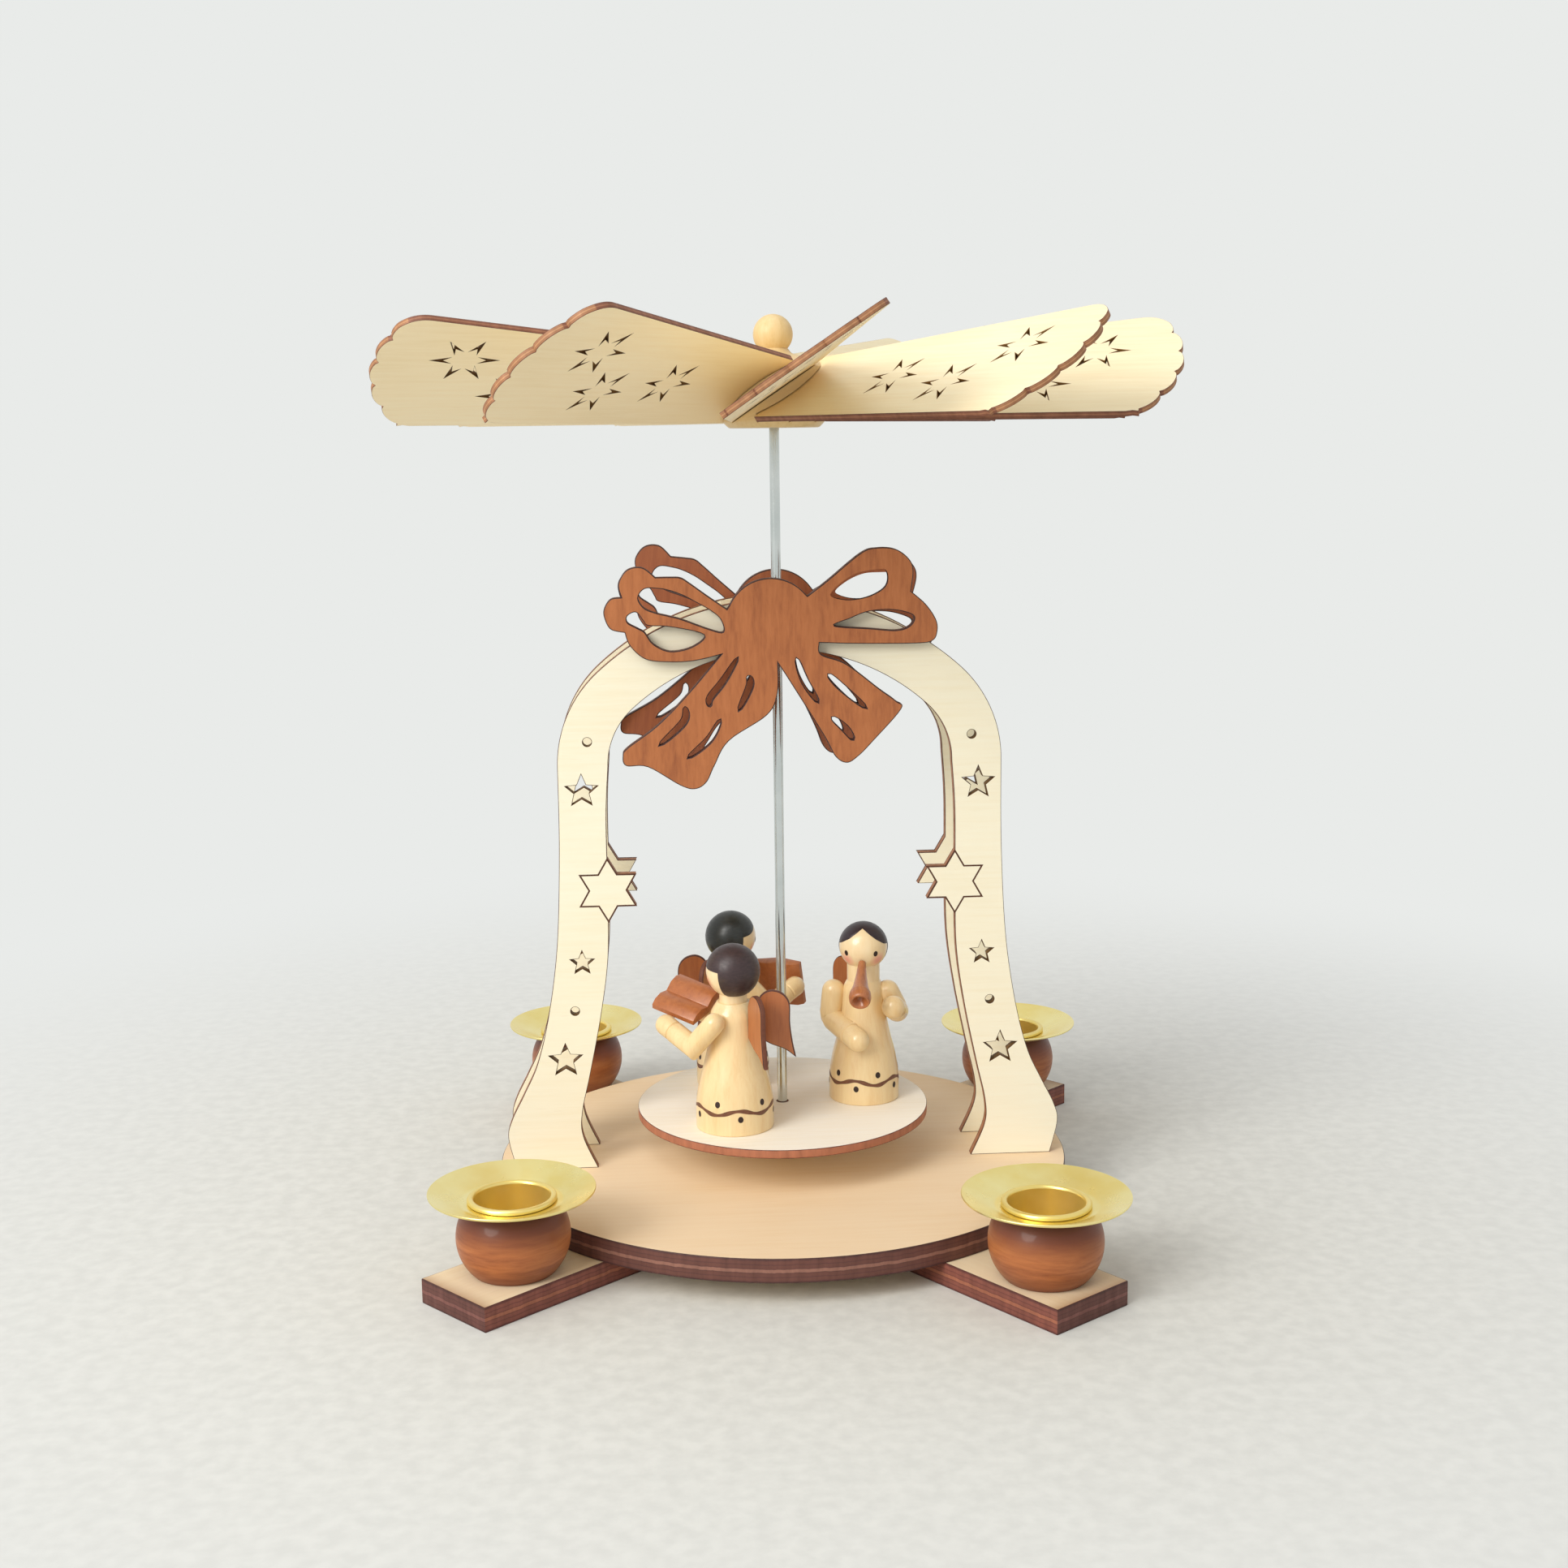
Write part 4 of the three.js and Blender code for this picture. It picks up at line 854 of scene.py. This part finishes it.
def body_side(radius):
    return [(radius, 0)] + smooth([(radius * out, body_height * up) for out, up in body_shares], 8)


def skin(line, level):
    """Radius of a turned side line at a height."""
    for (r0, z0), (r1, z1) in zip(line, line[1:]):
        if z0 <= level <= z1 and z1 > z0:
            return r0 + (r1 - r0) * (level - z0) / (z1 - z0)
    return line[-1][0]


def facing(azimuth, radius, level):
    """Point at an azimuth counted from the figure's front (-Y), positive to its left (+X)."""
    a = math.radians(azimuth)
    return Vector((radius * math.sin(a), -radius * math.cos(a), level))


def on_ball(azimuth, elevation, radius, centre):
    e = math.radians(elevation)
    return facing(azimuth, radius * math.cos(e), centre + radius * math.sin(e))


def skirt_line(radius):
    """Wavy painted line round the skirt."""
    side = body_side(radius)
    bm = bmesh.new()
    pairs = []
    count = 240
    for i in range(count):
        azimuth = 360 * i / count
        middle = 6.05 + 0.62 * math.cos(math.radians(5 * (azimuth + 12)))
        half = 0.475 * (1 + 0.22 * math.sin(math.radians(13 * azimuth + 40)))
        pairs.append([bm.verts.new(facing(azimuth, skin(side, z) + 0.03, z))
                      for z in (middle - half, middle + half)])
    return loft(bm, list(zip(*pairs)))


def dots(places, side, size):
    """Small round spots laid on a turned side line."""
    bm = bmesh.new()
    for azimuth, level in places:
        centre = bm.verts.new(facing(azimuth, skin(side, level) + 0.09, level))
        ring = []
        for across, rise in circle(size, 16):
            z = level + rise
            radius = skin(side, z)
            swing = math.degrees(0.85 * across / radius)
            ring.append(bm.verts.new(facing(azimuth + swing, radius + 0.04, z)))
        loft(bm, [ring, [centre]])
    return bm


fringes = {
    "parted": [(-92, 8), (-72, 11), (-60, 15), (-38, 26), (-21, 41), (-8, 53), (0, 58), (8, 53), (21, 41),
               (38, 26), (60, 13), (72, 10), (92, 7)],
    "low": [(-92, 11), (-72, 14), (-60, 18), (-38, 29), (-21, 46), (-6, 58), (6, 52), (20, 30), (38, 13),
            (60, 9), (92, 7)],
}


def hair_edge(azimuth, fringe):
    """Elevation at which the hair begins, by the azimuth from the face's middle."""
    table = [(-180, -62), (-104, -58), (-95.5, -48)] + fringe + [(95.5, -48), (104, -58), (180, -62)]
    for (a0, e0), (a1, e1) in zip(table, table[1:]):
        if a0 <= azimuth <= a1:
            return e0 + (e1 - e0) * (azimuth - a0) / (a1 - a0)
    return -62


def hair(radius, centre, fringe):
    """Painted cap of hair, a little thicker than the head, down to the hair's edge."""
    bm = bmesh.new()
    ear_steps = [side * a for side in (-1, 1) for a in (91, 92, 93, 94, 94.8, 95.5, 97, 99, 101, 103)]
    rows = 14
    crown = bm.verts.new((0, 0, centre + radius + 0.16))
    columns = []
    for azimuth in sorted(set([-180 + 4 * i for i in range(90)] + ear_steps)):
        low = hair_edge(azimuth, fringe)
        spots = [(low, -0.12), (low, 0.1)] + [(low + (90 - low) * k / rows, 0.16) for k in range(1, rows)]
        columns.append([bm.verts.new(on_ball(azimuth, rise, radius + grow, centre)) for rise, grow in spots])
    return loft(bm, list(zip(*columns)) + [[crown]])


def eye_spots(radius, centre, aside):
    """Two round eyes on the head, at equal angles beside the azimuth aside."""
    level, wide, high = -8, 5.6, 6.8
    bm = bmesh.new()
    for azimuth in (aside - 38, aside + 38):
        middle = bm.verts.new(on_ball(azimuth, level, radius + 0.08, centre))
        ring = []
        for across, rise in circle(1, 20):
            e = level + high * rise
            a = azimuth + wide * across / math.cos(math.radians(e))
            ring.append(bm.verts.new(on_ball(a, e, radius + 0.04, centre)))
        loft(bm, [ring, [middle]])
    return bm


def limb(points, radius, blunt):
    """Dowel through three points with round ends and a mitred elbow, its outer corner cut back by blunt."""
    start, elbow, stop = (Vector(p) for p in points)
    upper, lower = (elbow - start).normalized(), (stop - elbow).normalized()
    mitre = (upper + lower).normalized()
    square = upper.cross(lower).normalized()
    bm = bmesh.new()
    rings = []

    def ring(centre, along, reach, normal=None):
        across = square.cross(along).normalized()
        row = []
        for u, v in circle(reach, 32):
            point = centre + square * u + across * v
            if normal:
                slide = (centre - point).dot(normal) / along.dot(normal)
                point += along * min(slide, blunt * reach)
            row.append(bm.verts.new(point))
        rings.append(row)

    caps = [math.radians(a) for a in (80, 68, 54, 40, 27, 13, 0)]
    for a in caps:
        ring(start - upper * math.sin(a) * radius, upper, math.cos(a) * radius)
    if blunt < 0.5:
        ring(elbow - upper * 0.5 * radius, upper, radius)
        ring(elbow, upper, 0.84 * radius, mitre)
        ring(elbow + lower * 0.5 * radius, lower, radius)
    else:
        ring(elbow, upper, radius, mitre)
    cuff = stop - lower * min(1.1 * radius, 0.4 * (stop - elbow).length)
    for step, reach in ((-0.42, 1), (-0.14, 0.88), (0.1, 0.88), (0.36, 0.98)):
        ring(cuff + lower * step, lower, reach * radius)
    for a in reversed(caps):
        ring(stop + lower * math.sin(a) * radius, lower, math.cos(a) * radius)
    loft(bm, rings)
    bm.faces.new(rings[0])
    bm.faces.new(rings[-1][::-1])
    return bm


def on_doll(bm, name, where, material, *nodes, **options):
    place(bm, name, where, "carousel", "varnished_wood", [material], nodes, **options)


# Elbow and hand by pose: shares of the arm's reach aside and back, and of the shoulder height
arm_shares = {
    "resting": ((1.02, 0.1, 0.74), (0.12, -1.14, 0.63)),
    "raised": ((1.04, 0.16, 0.8), (0.94, -0.82, 0.92)),
    "reaching": ((1.02, -0.66, 0.765), (0.86, -1.72, 0.9)),
}
wing_top = [(0, 0.8), (0.16, 0.94), (0.4, 1), (0.68, 0.95), (0.85, 0.8), (0.86, 0.5), (0.92, 0.22), (1, 0)]
wing_outline = smooth(wing_top, 6) + smooth([(1, 0), (0.72, 0.12), (0.36, 0.2), (0, 0.32)], 6)[1:]
book_outline = [(0, -0.5), (0.5, 0.1), (0.48, 0.6), (0.36, 0.95), (0.18, 0.95), (0, 0.45), (-0.18, 0.95),
                (-0.36, 0.95), (-0.48, 0.6), (-0.5, 0.1)]
# Tilt, roll and turn of each book in degrees, and its place forward and up as shares
books = {"angel_b": (-11, 29, 0, -1.6, 1.06), "angel_c": (-110, 0, 39, -1.82, 0.9)}
hair_paint = {"angel_a": hair_a, "angel_b": hair_b, "angel_c": hair_c}
book_length, book_width, book_thick = 13.4, 12.6, 2.3
wing_length, wing_height, wing_turn = 10, 17.4, 32
neck_start = body_height - 1.6

for name, at, turn, wings, body_radius, head_radius in figures:
    here = spin(at) @ shift(orbit, 0, table_top) @ spin(turn)
    side = body_side(body_radius)
    profile = soften([(0, 0)] + side + [(0, body_height)], 0.35)
    on_doll(lathe(profile, 80), name + "_gown", here, varnished, name + "_body")
    on_doll(skirt_line(body_radius), name + "_hem_line", here, line_paint)
    spots = [(a + 72 * k, z) for k in range(5) for a, z in ((27, 8.1), (-10, 4.5))]
    on_doll(dots(spots, side, 0.82), name + "_hem_dots", here, dot_paint)

    fringe = "low" if name == "angel_b" else "parted"
    centre = figure_height - head_radius
    horned = name == "angel_a"
    neck = horn_neck if horned else book_neck
    head_profile = [(0, neck_start), (neck, neck_start)] + ball_line(head_radius, neck, centre, 32)
    on_doll(lathe(head_profile, 80), name + "_face", here, face_wood, name + "_head", drift=(0, 0))
    on_doll(hair(head_radius, centre, fringes[fringe]), name + "_hair", here, hair_paint[name], limit=60)
    on_doll(eye_spots(head_radius, centre, -4 if horned else 0), name + "_eyes", here, dot_paint)

    out = body_radius * bodice_share + arm_radius + 0.3
    poses = ("resting", "raised") if horned else ("reaching", "reaching")
    sleeve_radius, blunt = (arm_radius * 1.12, 0.3) if horned else (arm_radius, 0.7)
    for hand, word, pose in ((-1, "right", poses[0]), (1, "left", poses[1])):
        shares = ((0.74 if pose == "raised" else 0.92, 0, 1), *arm_shares[pose])
        points = [(hand * a * out, f * out, u * shoulder_height) for a, f, u in shares]
        on_doll(limb(points, sleeve_radius, blunt), f"{name}_sleeve_{word}", here, varnished,
                f"{name}_arm_{word}", limit=40)
        sheet = plate([[(wing_length * x, wing_height * y) for x, y in wing_outline]], wing_thick, 0.25)
        hinge = (here @ spin(wings) @ shift(hand * 1.3, body_radius * bodice_share, 18.6)
                 @ spin(90 - hand * wing_turn) @ spin(90, X) @ shift(0, 0, -wing_thick / 2))
        place(sheet, f"{name}_feather_{word}", hinge, "carousel", "stained_wing", [wing_face, wing_edge],
              [f"{name}_wing_{word}"], face_or_edge)

    if horned:
        drop = head_radius * 0.5
        reach = math.sqrt(head_radius ** 2 - drop ** 2) + 0.3
        horn = [(0, 0), (0.95, 0), (1.0, 0.6), (1.5, 5.5), (1.95, 8.6), (2.3, 10.1), (2.75, 11.3),
                (2.9, 12.6), (2.75, 13.7), (2.45, 14.4), (1.8, 14.1), (0.9, 12.6), (0, 11.9)]
        place(lathe(soften(horn, 1.0), 56), name + "_trumpet",
              here @ shift(0, -reach, centre - drop) @ spin(120, X), "carousel", "stained_wing", [horn_wood],
              [name + "_horn"], limit=50)
    else:
        tilt, roll, yaw, forward, up = books[name]
        section = [(book_width * x, book_thick * y) for x, y in book_outline]
        place(plate([section], book_length, 0.15), name + "_pages",
              here @ shift(0, forward * out, up * shoulder_height) @ spin(yaw) @ spin(tilt, X)
              @ spin(roll, Y) @ spin(90, X) @ shift(0, 0, -book_length / 2),
              "carousel", "stained_wing", [wing_face], [name + "_book"])


# Floor, light and camera

def felt():
    """Pale felt that fades into the backdrop's tone away from the piece."""
    g = Graph(bpy.data.materials.new("felt_floor"), "Principled BSDF", Roughness=0.95,
              Specular_IOR_Level=0.1)
    where = g.add("ShaderNodeNewGeometry").outputs["Position"]
    grain = g.add("ShaderNodeTexNoise", {"Vector": where, "Scale": 240, "Detail": 6}).outputs["Fac"]
    g.plug(g.ramp(grain, [(0.35, "#D3D4D0"), (0.65, "#DDDEDA")]), g.shader.inputs["Base Color"])
    away = g.add("ShaderNodeVectorMath", {0: where}, operation="LENGTH").outputs["Value"]
    fade = g.add("ShaderNodeMapRange", {"Value": away, "From Min": 0.06, "From Max": 0.42},
                 interpolation_type="SMOOTHSTEP")
    g.show_backdrop("ShaderNodeEmission", "Material Output", fade.outputs["Result"])
    return g.owner


floor_mesh = bpy.data.meshes.new("floor")
floor_mesh.from_pydata([(-4, -4, 0), (4, -4, 0), (4, 4, 0), (-4, 4, 0)], [], [(0, 1, 2, 3)])
floor_mesh.materials.append(felt())
floor = added("floor", floor_mesh)

world = Graph(bpy.data.worlds.new("studio"), "Background", Color=(0.99, 0.965, 0.93, 1), Strength=0.52)
world.show_backdrop("ShaderNodeBackground", "World Output")
bpy.context.scene.world = world.owner

lamp_aim = Vector((0, 0, 0.1))
for name, at, size, power, tint in (("key", (-1.2, -1.1, 1.0), 1.0, 22.5, (1.0, 0.98, 0.94)),
                                    ("high", (-0.5, -0.9, 1.5), 0.9, 6, (1.0, 0.985, 0.96)),
                                    ("overhead", (-0.2, 0.15, 1.5), 0.9, 3, (1.0, 0.985, 0.96))):
    data = bpy.data.lights.new(name, "AREA")
    data.shape, data.size, data.energy, data.color = "DISK", size, power, tint
    lamp = added(name, data)
    lamp.location = at
    lamp.rotation_euler = (lamp_aim - Vector(at)).to_track_quat("-Z", "Y").to_euler()

# Camera: focal length in the photo's pixels, place in millimetres, angles in radians
photo_pixels, focal_pixels, sensor_width = 1932, 2493.35, 36
camera_at = Vector((-31.45, -511.87, 197.45))
turn, tilt, roll = -0.0641, 0.1693, -0.0122
forward = Vector((-math.sin(turn) * math.cos(tilt), math.cos(turn) * math.cos(tilt), -math.sin(tilt)))
level = Vector((math.cos(turn), math.sin(turn), 0))
upright = level.cross(forward)
right = level * math.cos(roll) + upright * math.sin(roll)
up = upright * math.cos(roll) - level * math.sin(roll)
cam_data = bpy.data.cameras.new("camera")
cam_data.lens = focal_pixels * sensor_width / photo_pixels
cam_data.sensor_width = sensor_width
cam_data.sensor_fit = "HORIZONTAL"
cam_data.clip_start = 0.01
camera = added("camera", cam_data)
rows = [list(v) for v in zip(right, up, -forward)]
camera.matrix_world = Matrix.Translation(camera_at * MM) @ Matrix(rows).to_4x4()
bpy.context.scene.camera = camera
bpy.context.scene.view_settings.view_transform = "Standard"
